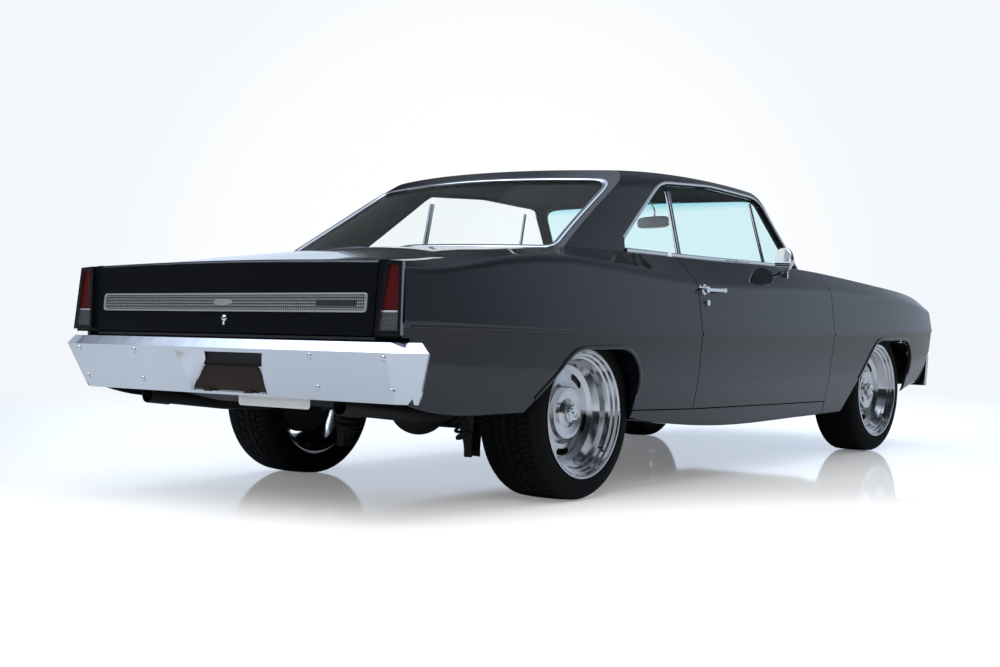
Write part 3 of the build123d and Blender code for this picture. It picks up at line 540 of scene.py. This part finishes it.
def makeWorld():
    # pale for the camera and through glass; reflections see a bright cove, a horizon and a soft box behind
    world = bpy.data.worlds.new("studio")
    bpy.context.scene.world = world
    world.use_nodes = True
    wiring = Wiring(world.node_tree)
    heading = wiring.node("TexCoord")
    height = wiring.axis(2, heading)
    ahead = heading.dot(studio["ahead"])
    beside = heading.dot(sky["sideAxis"]).smooth(*sky["sideFrom"])
    cove = heading.dot(sky["coveAxis"]).smooth(*sky["coveFrom"]).most(beside)
    cove = cove * (1 - height.smooth(*sky["coveTop"]))
    softbox = heading.dot(sky["softboxAxis"]).smooth(*sky["softboxFrom"])
    horizon = ahead.smooth(*sky["horizonFrom"]) * (1 - height.smooth(*sky["horizonTop"]))
    overhead, ceiling = height.smooth(*sky["overheadFrom"]), height.smooth(*sky["ceilingFrom"])
    level = (horizon * sky["horizon"] + cove * sky["cove"] + softbox * sky["softbox"]
             + overhead * sky["overhead"] + ceiling * sky["ceiling"] + sky["room"])
    diffuse = wiring.rays("diffuse")
    mirrored = wiring.rays("mirrored") * (1 - wiring.rays("through"))
    plain = wiring.blend(ahead.smooth(*studio["whiteFrom"]), studio["backdrop"], studio["white"])
    color = wiring.blend(diffuse, wiring.blend(mirrored, plain, studio["mirrorTint"]), studio["fillColor"])
    background = world.node_tree.nodes["Background"]
    wiring.feed(background.inputs["Color"], color)
    wiring.feed(background.inputs["Strength"], 1 + mirrored * (level - 1) + diffuse * (studio["fill"] - 1))


def makeLamp(name, facts):
    data = bpy.data.lights.new(name, "AREA")
    data.shape = "RECTANGLE"
    data.size, data.size_y = facts["size"]
    data.energy = facts["power"]
    lamp = bpy.data.objects.new(name, data)
    bpy.context.scene.collection.objects.link(lamp)
    lamp.location = facts["place"]
    lamp.rotation_euler = (Vector(facts["aim"]) - Vector(facts["place"])).to_track_quat("-Z", "Y").to_euler()
    lamp.visible_glossy = False


def makeCamera():
    # looks along (cos yaw cos pitch, sin yaw cos pitch, sin pitch), rolled about that line
    yaw, pitch, roll = (radians(view[key]) for key in ("yaw", "pitch", "roll"))
    ahead = Vector((cos(yaw) * cos(pitch), sin(yaw) * cos(pitch), sin(pitch)))
    right = Vector((sin(yaw), -cos(yaw), 0))
    up = right.cross(ahead)
    side = cos(roll) * right + sin(roll) * up
    top = -sin(roll) * right + cos(roll) * up
    data = bpy.data.cameras.new("camera")
    data.lens, data.sensor_width = view["lens"], view["sensor"]
    camera = bpy.data.objects.new("camera", data)
    bpy.context.scene.collection.objects.link(camera)
    turn = Matrix((side, top, -ahead)).transposed().to_4x4()
    camera.matrix_world = Matrix.Translation(view["place"]) @ turn
    bpy.context.scene.camera = camera


makeFloor()
makeWorld()
for name, facts in lamps.items():
    makeLamp(name, facts)
makeCamera()
print("floor, light and camera")


sideTrim = dict(
    opening=[(722, 916), (425, 1262), (-20, 1284), (-461, 1266), (-838, 1006)],
    outset=0.008, size=(0.013, 0.008), sill=0.927, header=1.272, split=(-0.411, -0.411), vent=(0.372, 0.342),
    quarterShift=-0.008, quarterSize=(0.011, 0.014), doorShift=0.010, doorSize=(0.009, 0.014),
    ventSize=(0.014, 0.016),
)
belt = dict(y=0.733, lift=0.007, size=(0.012, 0.020), door=(-0.495, 0.640), quarter=(-0.845, -0.512))
houseTree = rayTree("roof", "windscreen", "rear_window")
glassTree = rayTree("door_glass_left", "door_glass_right", "quarter_windows")
bodyTree = rayTree("quarter_panels", "door_left", "door_right", "cowl", "fenders", "rear_deck")
roundBar = superOval(1, 1, 2.6, 14)


def doorOf(side):
    return "door_left" if side > 0 else "door_right"


def openingLine(outset):
    # the side opening's outline, pushed out by an outset, from the front foot over the roof to the rear foot
    line = softened(stationed(np.array(sideTrim["opening"], float) / 1000, 0.012), 3)
    ahead = unit(np.gradient(line, axis=0))
    return line + np.stack([ahead[:, 1], -ahead[:, 0]], 1) * outset


def onSide(line, tree, side):
    # a side view line laid on the car's flank: y is where a level ray first meets the tree
    starts = np.stack([line[:, 0], np.full(len(line), 1.2 * side), line[:, 1]], 1)
    return landing(tree, starts, (0, -side, 0))


def makeSideTrim(side, label):
    line = softened(onSide(openingLine(sideTrim["outset"]), houseTree, side), 2)
    sweep("sideReveal" + label, line, roundBar * sideTrim["size"], (0, side, 0.25), chrome)


def makeBar(name, ends, shift, body, side, size):
    # an upright bar on the side glass between the sill and the header
    stops = (sideTrim["sill"], sideTrim["header"])
    ends = (ends[0] + shift, ends[1] + shift)
    z = np.linspace(stops[0] - 0.02, stops[1] - 0.008, 14)
    line = onSide(np.stack([np.interp(z, stops, ends) + 0.034, z], 1), glassTree, side)
    line[:, 0] = np.interp(line[:, 2], stops, ends)
    sweep(name, line, roundBar * size, (0, side, 0), chrome, body=body)


def makeSideBars(side, label):
    # the door glass frame and the quarter glass frame stand a seal apart
    door, split = doorOf(side), sideTrim["split"]
    makeBar("quarterFrame" + label, split, sideTrim["quarterShift"], "root", side, sideTrim["quarterSize"])
    makeBar("doorFrame" + label, split, sideTrim["doorShift"], door, side, sideTrim["doorSize"])
    makeBar("ventBar" + label, sideTrim["vent"], 0.0, door, side, sideTrim["ventSize"])


def makeBeltStrip(side, label):
    # a strip along the top of the door and quarter panel under the side glass
    for key, body in (("door", doorOf(side)), ("quarter", "root")):
        x = np.arange(*belt[key], 0.02)
        starts = np.stack([x, np.full(len(x), belt["y"] * side), np.full(len(x), 1.15)], 1)
        line = landing(bodyTree, starts, (0, 0, -1)) + (0, 0, belt["lift"])
        sweep(key + "Belt" + label, softened(line, 2), roundBar * belt["size"], (0, 0, 1), chrome, body=body)


surrounds = {
    "rearWindowTrim": dict(glass="rear_window", beside=("roof", "rear_deck", "quarter_panels"),
                           centre=(-1.135, 0, 1.175), heading=(0.455, 0, -0.890), size=(0.024, 0.010)),
    "windscreenTrim": dict(glass="windscreen", beside=("roof", "cowl"),
                           centre=(0.675, 0, 1.150), heading=(-0.755, 0, -0.655), size=(0.018, 0.009)),
}


def makeSurround(name, facts):
    # where rays along the heading stop meeting the pane, turning once round its centre
    tree, paneTree = rayTree(facts["glass"], *facts["beside"]), rayTree(facts["glass"])
    heading = Vector(facts["heading"]).normalized()
    across = Vector((0, 1, 0))
    up = across.cross(heading)
    centre = Vector(facts["centre"])

    def startAt(angle, radius):
        return centre + (cos(angle) * across + sin(angle) * up) * radius - heading * 0.6

    def onPane(start):
        hit = tree.ray_cast(start, heading)
        pane = paneTree.ray_cast(start, heading)
        return pane[0] is not None and hit[0] is not None and abs(hit[3] - pane[3]) < 1e-4

    line = []
    for angle in fullTurn(220):
        inside, outside = 0.1, 1.1
        for _ in range(12):
            middle = (inside + outside) / 2
            if onPane(startAt(angle, middle)):
                inside = middle
            else:
                outside = middle
        line.append(startAt(angle, inside + facts["size"][0] * 0.28))
    line = softened(stationed(landing(tree, line, heading), 0.012, True), 2, True)
    sweep(name, line, superOval(*facts["size"], 3.2, 18), -np.array(heading), chrome, closed=True)


for side, label in sides:
    makeSideTrim(side, label)
    makeSideBars(side, label)
    makeBeltStrip(side, label)
for name, facts in surrounds.items():
    makeSurround(name, facts)
print("window trim")


tail = dict(faceX=-2.293, topZ=0.866, lean=radians(5.7))
strip = dict(half=0.676, low=0.7005, high=0.7585, corner=0.010, lip=(0.0065, 0.0075), rim=0.003, rows=5,
             cell=0.0102, ground=0.0015, depth=0.0016, badge=(-0.632, -0.450, 0.718, 0.738),
             emblem=(0.012, 0.730), emblemSize=(0.098, 0.024))


def onTail(y, z, lift):  # a point on the leaning tail face, pushed out of it by a lift
    x = tail["faceX"] - (tail["topZ"] - z) * tan(tail["lean"]) - lift
    return np.stack(np.broadcast_arrays(x, y, z), -1)


def roundedBox(y0, y1, z0, z1, corner):
    # the outline of a box with quarter circle corners
    t = np.linspace(0, pi / 2, 6)
    quarter = np.stack([np.cos(t), np.sin(t)], 1) * corner
    centres = [(y1 - corner, z1 - corner), (y0 + corner, z1 - corner), (y0 + corner, z0 + corner),
               (y1 - corner, z0 + corner)]
    parts = []
    for k, centre in enumerate(centres):
        c, s = cos(k * pi / 2), sin(k * pi / 2)
        parts.append(quarter @ np.array([[c, s], [-s, c]]) + centre)
    return np.concatenate(parts)


def makeStripCells():
    # pillows on a grid: h(u, v) = depth * ramp(u) * ramp(v), where a ramp rises from each cell's edges
    rim, rows = strip["rim"], strip["rows"]
    half = strip["half"] - rim
    across = int(round(2 * half / strip["cell"]))
    perCell = np.array([0.0, 0.16, 0.34, 0.66, 0.84])
    ramp = np.array([0.0, 0.75, 1.0, 1.0, 0.75])
    u = np.append((np.arange(across)[:, None] + perCell).ravel(), across) / across
    v = np.append((np.arange(rows)[:, None] + perCell).ravel(), rows) / rows
    rise = np.append(np.tile(ramp, across), 0)[:, None] * np.append(np.tile(ramp, rows), 0)[None]
    y = ((2 * u - 1) * half)[:, None]
    z = (strip["low"] + rim + v * (strip["high"] - strip["low"] - 2 * rim))[None]
    y0, y1, z0, z1 = strip["badge"]
    inBadge = (y > y0) & (y < y1) & (z > z0) & (z < z1)
    front = onTail(y, z, strip["ground"] + strip["depth"] * rise * ~inBadge)
    back = onTail(y, z, 0.0)
    n, m = rise.shape
    edge = np.concatenate([np.arange(m), np.arange(1, n) * m + m - 1,
                           np.arange(n * m - 2, (n - 1) * m - 1, -1), np.arange(n - 2, 0, -1) * m])
    sides = np.stack([edge, np.roll(edge, -1), np.roll(edge, -1) + n * m, edge + n * m], 1).tolist()
    faces = gridFaces(n, m) + sides + [(edge + n * m).tolist()]
    points = np.concatenate([front.reshape(-1, 3), back.reshape(-1, 3)])
    addPiece("stripCells", points, faces, stripMetal, body="decklid", crease=20)


def makeStrip():
    outline = roundedBox(-strip["half"], strip["half"], strip["low"], strip["high"], strip["corner"])
    sweep("stripFrame", onTail(outline[:, 0], outline[:, 1], 0.0028), superOval(*strip["lip"], 3.0, 12),
          (-1, 0, 0.1), satinSilver, closed=True, body="decklid")
    makeStripCells()
    slab("stripBadge", roundedBox(*strip["badge"], 0.002), 0.0025, lambda u, v, w: onTail(u, v, w + 0.0012),
         stripDark, edge=0.0008, body="decklid")
    slab("stripEmblem", superOval(*strip["emblemSize"], 2.0, 40) + strip["emblem"], 0.0035,
         lambda u, v, w: onTail(u, v, w + 0.0014), satinSilver, edge=0.0018, body="decklid")


lock = {"lidLock": dict(z=0.674, radius=0.0125, height=0.007),
        "lidLockDrop": dict(z=0.655, radius=0.006, height=0.005)}


def makeLock():
    out = (-cos(tail["lean"]), 0, sin(tail["lean"]))
    for name, facts in lock.items():
        centre = onTail(0.0, facts["z"], 0.0)
        domes(name, [centre], out, facts["radius"], facts["height"], chrome, body="decklid")


divider = dict(y=(0.746, 0.834), z=0.701, size=(0.006, 0.006))


def makeLampDividers():
    tree = rayTree("tail_lamps")
    for side, label in sides:
        y = np.linspace(*divider["y"], 12) * side
        starts = np.stack([np.full(12, -2.5), y, np.full(12, divider["z"])], 1)
        sweep("lampDivider" + label, landing(tree, starts, (1, 0, 0)), superOval(*divider["size"], 3.0, 10),
              (-1, 0, 0), satinSilver)


bumper = dict(
    boltY=(0.785, 0.455), boltZ=(0.551, 0.444), boltRadius=0.0115, boltHeight=0.0055, lean=radians(22.0),
    bracketX=-2.2772, steel=0.006, edge=0.003, tabY=0.105, tabHalf=0.022, tabZ=(0.412, 0.422), tabDepth=0.020,
    bracket=[(-0.142, 0.500), (-0.134, 0.506), (0.134, 0.506), (0.142, 0.500), (0.190, 0.424),
             (0.186, 0.417), (-0.186, 0.417), (-0.190, 0.424)],
)


def makeBumperBolts():
    out = (-cos(bumper["lean"]), 0, -sin(bumper["lean"]))
    starts = [(-2.6, y * side, z) for side in (1, -1) for y in bumper["boltY"] for z in bumper["boltZ"]]
    centres = landing(rayTree("rear_bumper"), starts, (1, 0, 0))
    domes("bumperBolts", centres, out, bumper["boltRadius"], bumper["boltHeight"], chrome)


def makeBracket():
    place, half = facingBack(bumper["bracketX"]), bumper["tabHalf"]
    slab("plateBracket", bumper["bracket"], bumper["steel"], place, bronzeSteel, edge=bumper["edge"])
    for side, label in sides:
        y = bumper["tabY"] * side
        slab("plateTab" + label, roundedBox(y - half, y + half, *bumper["tabZ"], 0.003), bumper["tabDepth"],
             place, bronzeSteel, edge=bumper["edge"])


hungPlate = dict(x=-2.2430, y=(-0.359, -0.003), z=(0.365, 0.478), corner=0.012, thick=0.0015,
                 boltInset=0.06, boltZ=0.462, boltRadius=0.006, boltLength=0.0145)


def makeHungPlate():
    # a blank plate hung ahead of the tail panel's foot on two bolts
    x, (y0, y1) = hungPlate["x"], hungPlate["y"]
    slab("hungPlate", roundedBox(y0, y1, *hungPlate["z"], hungPlate["corner"]), hungPlate["thick"],
         facingBack(x), blankPlate, edge=0.0005)
    for y, label in ((y0 + hungPlate["boltInset"], "A"), (y1 - hungPlate["boltInset"], "B")):
        slab("hungPlateBolt" + label, circle(hungPlate["boltRadius"], 12) + (y, hungPlate["boltZ"]),
             hungPlate["boltLength"], facingBack(x + 0.003), blackSteel)


makeStrip()
makeLock()
makeLampDividers()
makeBumperBolts()
makeBracket()
makeHungPlate()
print("tail details")


wheelFacts = {
    "front": dict(x=1.534, radius=0.324, width=0.238, outerY=0.809, capDepth=0.040),
    "rear": dict(x=-1.260, radius=0.327, width=0.276, outerY=0.826, capDepth=0.059),
}
tyre = dict(
    bead=0.2403, pitches=46, perPitch=14, grooveDepth=0.0062, siping=0.0035, sipingFrom=0.56,
    slantDepth=0.8, slantFrom=0.21, sweepBack=0.42, leanShare=0.36, crown=0.0040,
    bands=(-0.52, -0.17, 0.17, 0.52), bandWidth=0.050,
    shoulder=[(-0.060, 0.0), (-0.047, -0.0016), (-0.034, -0.0045), (-0.023, -0.0095), (-0.014, -0.0165),
              (-0.0075, -0.0250), (-0.004, -0.0330)],
    wall=[(0.0, -0.016), (0.003, -0.008), (0.0065, -0.0045), (0.009, -0.0028), (0.0125, -0.0032),
          (0.015, -0.0008), (0.020, -0.0002)],
)


def wheelPlace(facts, side, radius, angle, offset):
    # polar to car axes: x and z from radius and angle, y from an offset outwards of the wheel's outer face
    x = facts["x"] + radius * np.sin(angle)
    z = facts["radius"] + radius * np.cos(angle)
    y = side * (facts["outerY"] + offset + 0 * radius)
    return np.stack(np.broadcast_arrays(x, y, z), -1)


def tyreSection(facts):
    # radius and offset from the outer side round the tyre, with v from -1 to 1 across the tread
    w, r = facts["width"], facts["radius"]
    wall = np.array(tyre["wall"]) + (tyre["bead"], 0)
    shoulder = np.array(tyre["shoulder"]) + (r, 0)
    marks = {-1.0, 1.0} | set(np.round(np.linspace(-0.96, 0.96, 25), 5).tolist())
    for band in tyre["bands"]:
        marks |= {round(band + step * tyre["bandWidth"] / 2, 5) for step in (-1.0, -0.72, 0.72, 1.0)}
    v = np.array(sorted(marks))[::-1]
    tread = np.stack([r - tyre["crown"] * np.abs(v) ** 2.6, v * (w / 2 + tyre["shoulder"][-1][1]) - w / 2], 1)
    outer = np.concatenate([wall, shoulder[:-1]])
    inner = np.stack([outer[:, 0], -w - outer[:, 1]], 1)[::-1]
    share = np.concatenate([np.full(len(outer), 9.0), v, np.full(len(inner), -9.0)])
    return np.concatenate([outer, tread, inner]), share


def makeTyre(axle, side, label):
    # grid over (angle, section): rows lean along the slanted grooves, so that a groove is whole rows
    facts = wheelFacts[axle]
    section, v = tyreSection(facts)
    across = np.abs(np.clip(v, -1, 1))
    step = np.arange(tyre["pitches"] * tyre["perPitch"])
    phase = step % tyre["perPitch"]
    lean = tyre["sweepBack"] * (1 - (1 - across) ** 1.5) * tyre["leanShare"]
    theta = (step * 2 * pi / len(step))[:, None] + lean[None]
    slant = (phase < 2)[:, None] & (across > tyre["slantFrom"])[None]
    slant = slant * tyre["grooveDepth"] * tyre["slantDepth"]
    siping = ((phase == 7)[:, None] & (across > tyre["sipingFrom"])[None]) * tyre["siping"]
    inBand = np.any([np.abs(v - band) < tyre["bandWidth"] / 2 * 0.9 for band in tyre["bands"]], 0)
    depth = np.maximum(np.maximum(slant, siping), inBand[None] * tyre["grooveDepth"])
    radius = section[None, :, 0] - depth * (np.abs(v) <= 1)[None]
    offset = np.broadcast_to(section[None, :, 1], radius.shape)
    grid = wheelPlace(facts, side, radius, theta, offset)
    wheel = axle + "_" + label.lower()
    piece = addPiece("tread" + axle.capitalize() + label, grid, gridFaces(*radius.shape, True, True), rubber,
                     body="wheel_" + wheel, slot="tyre_rubber", crease=28)
    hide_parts("tyre_" + wheel)


hub = dict(
    rings=[(0.0285, -0.0055), (0.0285, 0.0015), (0.0262, 0.0042), (0.0185, 0.0052), (0.0168, 0.0034),
           (0.0090, 0.0030), (0.0074, 0.0062), (0.0010, 0.0072)],
    lobes=5, lobeDepth=0.10, lift=0.0035, valveRadius=0.207, valveAngle=2.3, valveDepth=-0.052,
    valveLength=0.030, valveThick=0.0042,
)


def makeHubTrim(axle, side, label):
    # a plain fluted cap, whose outer rings swell and shrink by cos(lobes t), and a valve
    facts = wheelFacts[axle]
    body = "wheel_" + axle + "_" + label.lower()
    where = axle.capitalize() + label
    radius, offset = np.array(hub["rings"]).T[..., None]
    t = fullTurn(60)[None]
    fluted = np.arange(len(radius))[:, None] < 4
    lobes = 1 + hub["lobeDepth"] * np.cos(hub["lobes"] * t) * fluted
    grid = wheelPlace(facts, side, radius * lobes, t, offset - facts["capDepth"] + hub["lift"])
    addPiece("hubCap" + where, grid, tubeFaces(*grid.shape[:2]), chrome, body=body, slot="polished_alloy")
    foot = wheelPlace(facts, side, hub["valveRadius"], hub["valveAngle"], hub["valveDepth"])
    stem = [foot, foot + (0, side * hub["valveLength"], 0)]
    sweep("valve" + where, stationed(stem, 0.006), circle(hub["valveThick"], 12), (0, 0, 1), blackRubber,
          body=body, slot="tyre_rubber")


for axle in ("front", "rear"):
    for side, label in sides:
        makeTyre(axle, side, label)
        makeHubTrim(axle, side, label)
print("tyres and wheel trim")


seats = dict(
    pleat=0.058, pleatDepth=0.007, pleated=0.80, crown=0.006, sides=3.2, sideDraw=0.16, endDraw=0.55,
    frontY=0.405, railY=0.165, railWidth=0.022, rail=(-0.10, 0.30, 0.3025, 0.3340),
    cushion=[(-0.140, 0.345), (-0.140, 0.462), (0.330, 0.494), (0.350, 0.385), (0.295, 0.345)],
    back=[(-0.104, 0.412), (-0.225, 0.446), (-0.320, 0.934), (-0.245, 0.942), (-0.098, 0.502)],
    rearCushion=[(-0.810, 0.412), (-0.796, 0.532), (-0.486, 0.560), (-0.474, 0.445), (-0.505, 0.412)],
    rearBack=[(-0.748, 0.515), (-0.826, 0.500), (-0.955, 0.893), (-0.886, 0.904), (-0.748, 0.603)],
    cushionHalf=0.214, backHalf=0.206, rearCushionHalf=0.640, rearBackHalf=0.485,
)


def makePad(name, key, middleY, topSide, node):
    # rings of the side outline across y, drawn in by (1 - |v|^2n)^(1/n), with pleats pressed into the top
    outline = softened(stationed(seats[key], 0.010, True), 3, True)
    half, n = seats[key + "Half"], seats["sides"]
    centre = outline.mean(0)
    v = np.sin(np.linspace(-pi / 2, pi / 2, int(half * 260)))
    y = v * half
    draw = np.maximum(1 - np.abs(v) ** (2 * n), 0.0) ** (1 / n) * seats["sideDraw"] + 1 - seats["sideDraw"]
    draw *= np.where(np.abs(v) > 0.999, seats["endDraw"], 1.0)
    toTop = unit(np.array(topSide, float))
    share = np.clip((unit(outline - centre) @ toTop - 0.25) * 2.2, 0, 1)[None]
    wave = np.abs(np.cos(pi * y / seats["pleat"])) ** 0.5
    dent = np.where(np.abs(y) < half * seats["pleated"], 1 - wave, 0.0)[:, None] * share * seats["pleatDepth"]
    crown = (1 - v ** 2)[:, None] * share * seats["crown"]
    ring = centre + (outline - centre) * draw[:, None, None] + toTop * (crown - dent)[..., None]
    across = np.broadcast_to(y[:, None] + middleY, ring.shape[:2])
    grid = np.stack([ring[..., 0], across, ring[..., 1]], -1)
    pad = addPiece(name, grid, tubeFaces(*across.shape), vinyl, slot="seat_vinyl", crease=50)
    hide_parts(node)


def makeSeatRail(name, y):
    slab(name, roundedBox(*seats["rail"], 0.004), seats["railWidth"],
         lambda u, v, w: np.stack([u, w + y - seats["railWidth"] / 2, v], 1), blackSteel, slot="seat_vinyl")


def makeSeats():
    for side, label in sides:
        y = seats["frontY"] * side
        makePad("frontCushion" + label, "cushion", y, (0, 1), "front_seats")
        makePad("frontBack" + label, "back", y, (1, 0.25), "front_seats")
        makeSeatRail("seatRail" + label + "0", y - seats["railY"])
        makeSeatRail("seatRail" + label + "1", y + seats["railY"])
    makePad("rearCushion", "rearCushion", 0, (0, 1), "rear_seat")
    makePad("rearBack", "rearBack", 0, (1, 0.3), "rear_seat")


innerMirror = dict(centre=(0.556, 0.0, 1.184), size=(0.235, 0.062), faceShare=(0.965, 0.88),
                   turn=radians(16.0), root=(0.505, 0.0, 1.292), stemRadius=0.0045)


def facingPlace(centre, normal):
    # maps u, v, w to centre + u across + v up + w normal
    normal = unit(np.array(normal, float))
    across = unit(np.cross((0.0, 0.0, 1.0), normal))
    lift = np.cross(normal, across)
    return lambda u, v, w: centre + u[:, None] * across + v[:, None] * lift + w[:, None] * normal


def makeInnerMirror():
    # the stem is a curve with one bend: (1-t)^2 a + 2t(1-t) b + t^2 c
    turn, centre = innerMirror["turn"], np.array(innerMirror["centre"])
    normal = np.array([-cos(turn), sin(turn), 0.05])
    shell = superOval(*innerMirror["size"], 4.0, 48)
    slab("innerMirrorShell", shell, 0.014, facingPlace(centre, -normal), trim, edge=0.008)
    # the glass face carries the pale painted reflection
    slab("innerMirrorGlass", shell * innerMirror["faceShare"], 0.0015, facingPlace(centre, normal),
         innerGlass)
    t = np.linspace(0, 1, 14)[:, None]
    foot, bend, root = centre + (0.010, 0, 0.020), centre + (0.045, 0, 0.075), np.array(innerMirror["root"])
    line = (1 - t) ** 2 * foot + 2 * t * (1 - t) * bend + t ** 2 * root
    sweep("innerMirrorStem", line, circle(innerMirror["stemRadius"], 12), (0, 1, 0), trim)


doorMirror = dict(centre=(0.300, 0.858, 0.968), radius=0.0545, turn=radians(20.0))


def makeDoorMirrorGlass():
    turn = doorMirror["turn"]
    for side, label in sides:
        centre = np.array(doorMirror["centre"]) * (1, side, 1)
        place = facingPlace(centre, (-cos(turn), -sin(turn) * side, 0.0))
        slab("doorMirrorGlass" + label, circle(doorMirror["radius"], 48), 0.0020, place, mirrorGlass,
             edge=0.0008, body=doorOf(side))


coilOver = dict(
    foot=(-1.336, 0.343, 0.160), head=(-1.336, 0.238, 0.468), spring=0.044, wire=0.0062, turns=8.5,
    springFrom=0.20, springTo=0.92, damper=0.025, damperTo=0.62, rod=0.010, eye=0.017, eyeHalf=0.022,
    bracketX=(("Fore", 0.026), ("Aft", -0.026)),
    bracket=[(0.018, -0.020), (0.018, 0.010), (0.030, 0.155), (-0.040, 0.155), (-0.018, 0.010),
             (-0.018, -0.020)],
    arm=[(-0.085, 0.115), (-0.085, 0.158), (0.030, 0.158), (0.030, 0.115)],
)


def makeTube(name, a, b, radius, finish):  # a circle carried from a to b
    sweep(name, [a, (a + b) / 2, b], circle(radius, 24), (0.9, 0.1, 0.2), finish, slot="suspension_steel")


def makeCoilOver(side, label):
    # spring wire: a helix round the line from foot to head
    foot, head = (np.array(coilOver[key]) * (1, side, 1) for key in ("foot", "head"))
    reach, wire, steel = head - foot, coilOver["wire"], "suspension_steel"
    axis = unit(reach)
    across = unit(np.cross(axis, (1, 0, 0)))
    other = np.cross(axis, across)
    low, high = (foot + reach * coilOver[key] for key in ("springFrom", "springTo"))
    t = np.linspace(0, 1, int(coilOver["turns"] * 22))[:, None]
    angle = t * 2 * pi * coilOver["turns"]
    helix = low + (high - low) * t + coilOver["spring"] * (np.cos(angle) * across + np.sin(angle) * other)
    sweep("coilSpring" + label, helix, circle(wire, 10), axis, blackSteel, slot=steel)
    top = foot + reach * coilOver["damperTo"]
    makeTube("coilDamper" + label, foot + axis * 0.015, top, coilOver["damper"], blackSteel)
    makeTube("coilRod" + label, top - reach * 0.02, head, coilOver["rod"], trim)
    for word, centre in (("Low", low), ("High", high)):
        makeTube("coilSeat" + word + label, centre - axis * 0.004, centre + axis * 0.004,
                 coilOver["spring"] + wire, blackSteel)
    eye = np.array([coilOver["eyeHalf"], 0, 0])
    makeTube("coilEye" + label, foot - eye, foot + eye, coilOver["eye"], blackSteel)
    for word, x in coilOver["bracketX"]:
        slab("coilBracket" + word + label, coilOver["bracket"], 0.006,
             lambda u, v, w: foot + np.stack([w + x - 0.003, u * side, v], 1), blackSteel, slot=steel)
    slab("coilArm" + label, coilOver["arm"], 0.060,
         lambda u, v, w: foot + np.stack([-u, (w - 0.030) * side, v], 1), blackSteel, slot=steel)


makeSeats()
makeInnerMirror()
makeDoorMirrorGlass()
for side, label in sides:
    makeCoilOver(side, label)
print("cabin and coil springs")


flank = dict(
    archSize=(0.017, 0.010), archOut=0.009, archFoot=0.345, archTurn=radians(78), lineSize=(0.011, 0.0045),
    lineLift=0.004,
    crease=[(-2300, 651), (-1853, 643), (-1263, 630), (-763, 621), (-163, 617), (637, 616), (1337, 620),
            (1937, 632), (2255, 638)],
    stretches=dict(Quarter=(-2275, -512, "quarter_panels"), Door=(-498, 800, "door"),
                   Fender=(814, 2245, "fenders")),
)


def archEdge(axle, side):
    # the wheel opening's edge: on each turn round the axle, the radius is halved in on where the panel begins
    facts = wheelFacts[axle]
    panel = rayTree("quarter_panels" if axle == "rear" else "fenders")
    heading = Vector((0, -side, 0))
    centre = np.array([facts["x"], 1.2 * side, facts["radius"]])
    line = []
    for turn in np.linspace(-flank["archTurn"], flank["archTurn"], 79):
        away = np.array([sin(turn), 0, cos(turn)])
        inside, outside = 0.18, 0.62
        for _ in range(11):
            middle = (inside + outside) / 2
            if panel.ray_cast(Vector(centre) + Vector(away * middle), heading, 0.55)[0]:
                outside = middle
            else:
                inside = middle
        line.append(centre + away * (outside + flank["archOut"]))
    points = landing(panel, line, heading)
    return points[points[:, 2] > flank["archFoot"]]


def makeArchLip(axle, side, label):
    edge = softened(stationed(archEdge(axle, side), 0.010), 2)
    sweep(axle + "ArchLip" + label, edge, superOval(*flank["archSize"], 2.4, 14), (0, side, 0), paint,
          slot="body_paint")


def makeSideLine(word, side, label):
    # a raised line just above the flank's crease, laid on one panel
    start, stop, panel = flank["stretches"][word]
    body = "root"
    if panel == "door":
        body = panel = doorOf(side)
    x = np.arange(start, stop, 15) / 1000
    creaseX, creaseZ = np.array(flank["crease"], float).T / 1000
    line = np.stack([x, np.interp(x, creaseX, creaseZ) + flank["lineLift"]], 1)
    line = softened(onSide(line, rayTree(panel), side), 2)
    sweep("sideLine" + word + label, line, superOval(*flank["lineSize"], 2.2, 12), (0, side, 0), paint,
          body=body, slot="body_paint")


for side, label in sides:
    for axle in ("rear", "front"):
        makeArchLip(axle, side, label)
    for word in flank["stretches"]:
        makeSideLine(word, side, label)
print("raised lines on the flanks")


bpy.context.scene.view_settings.view_transform = "Standard"
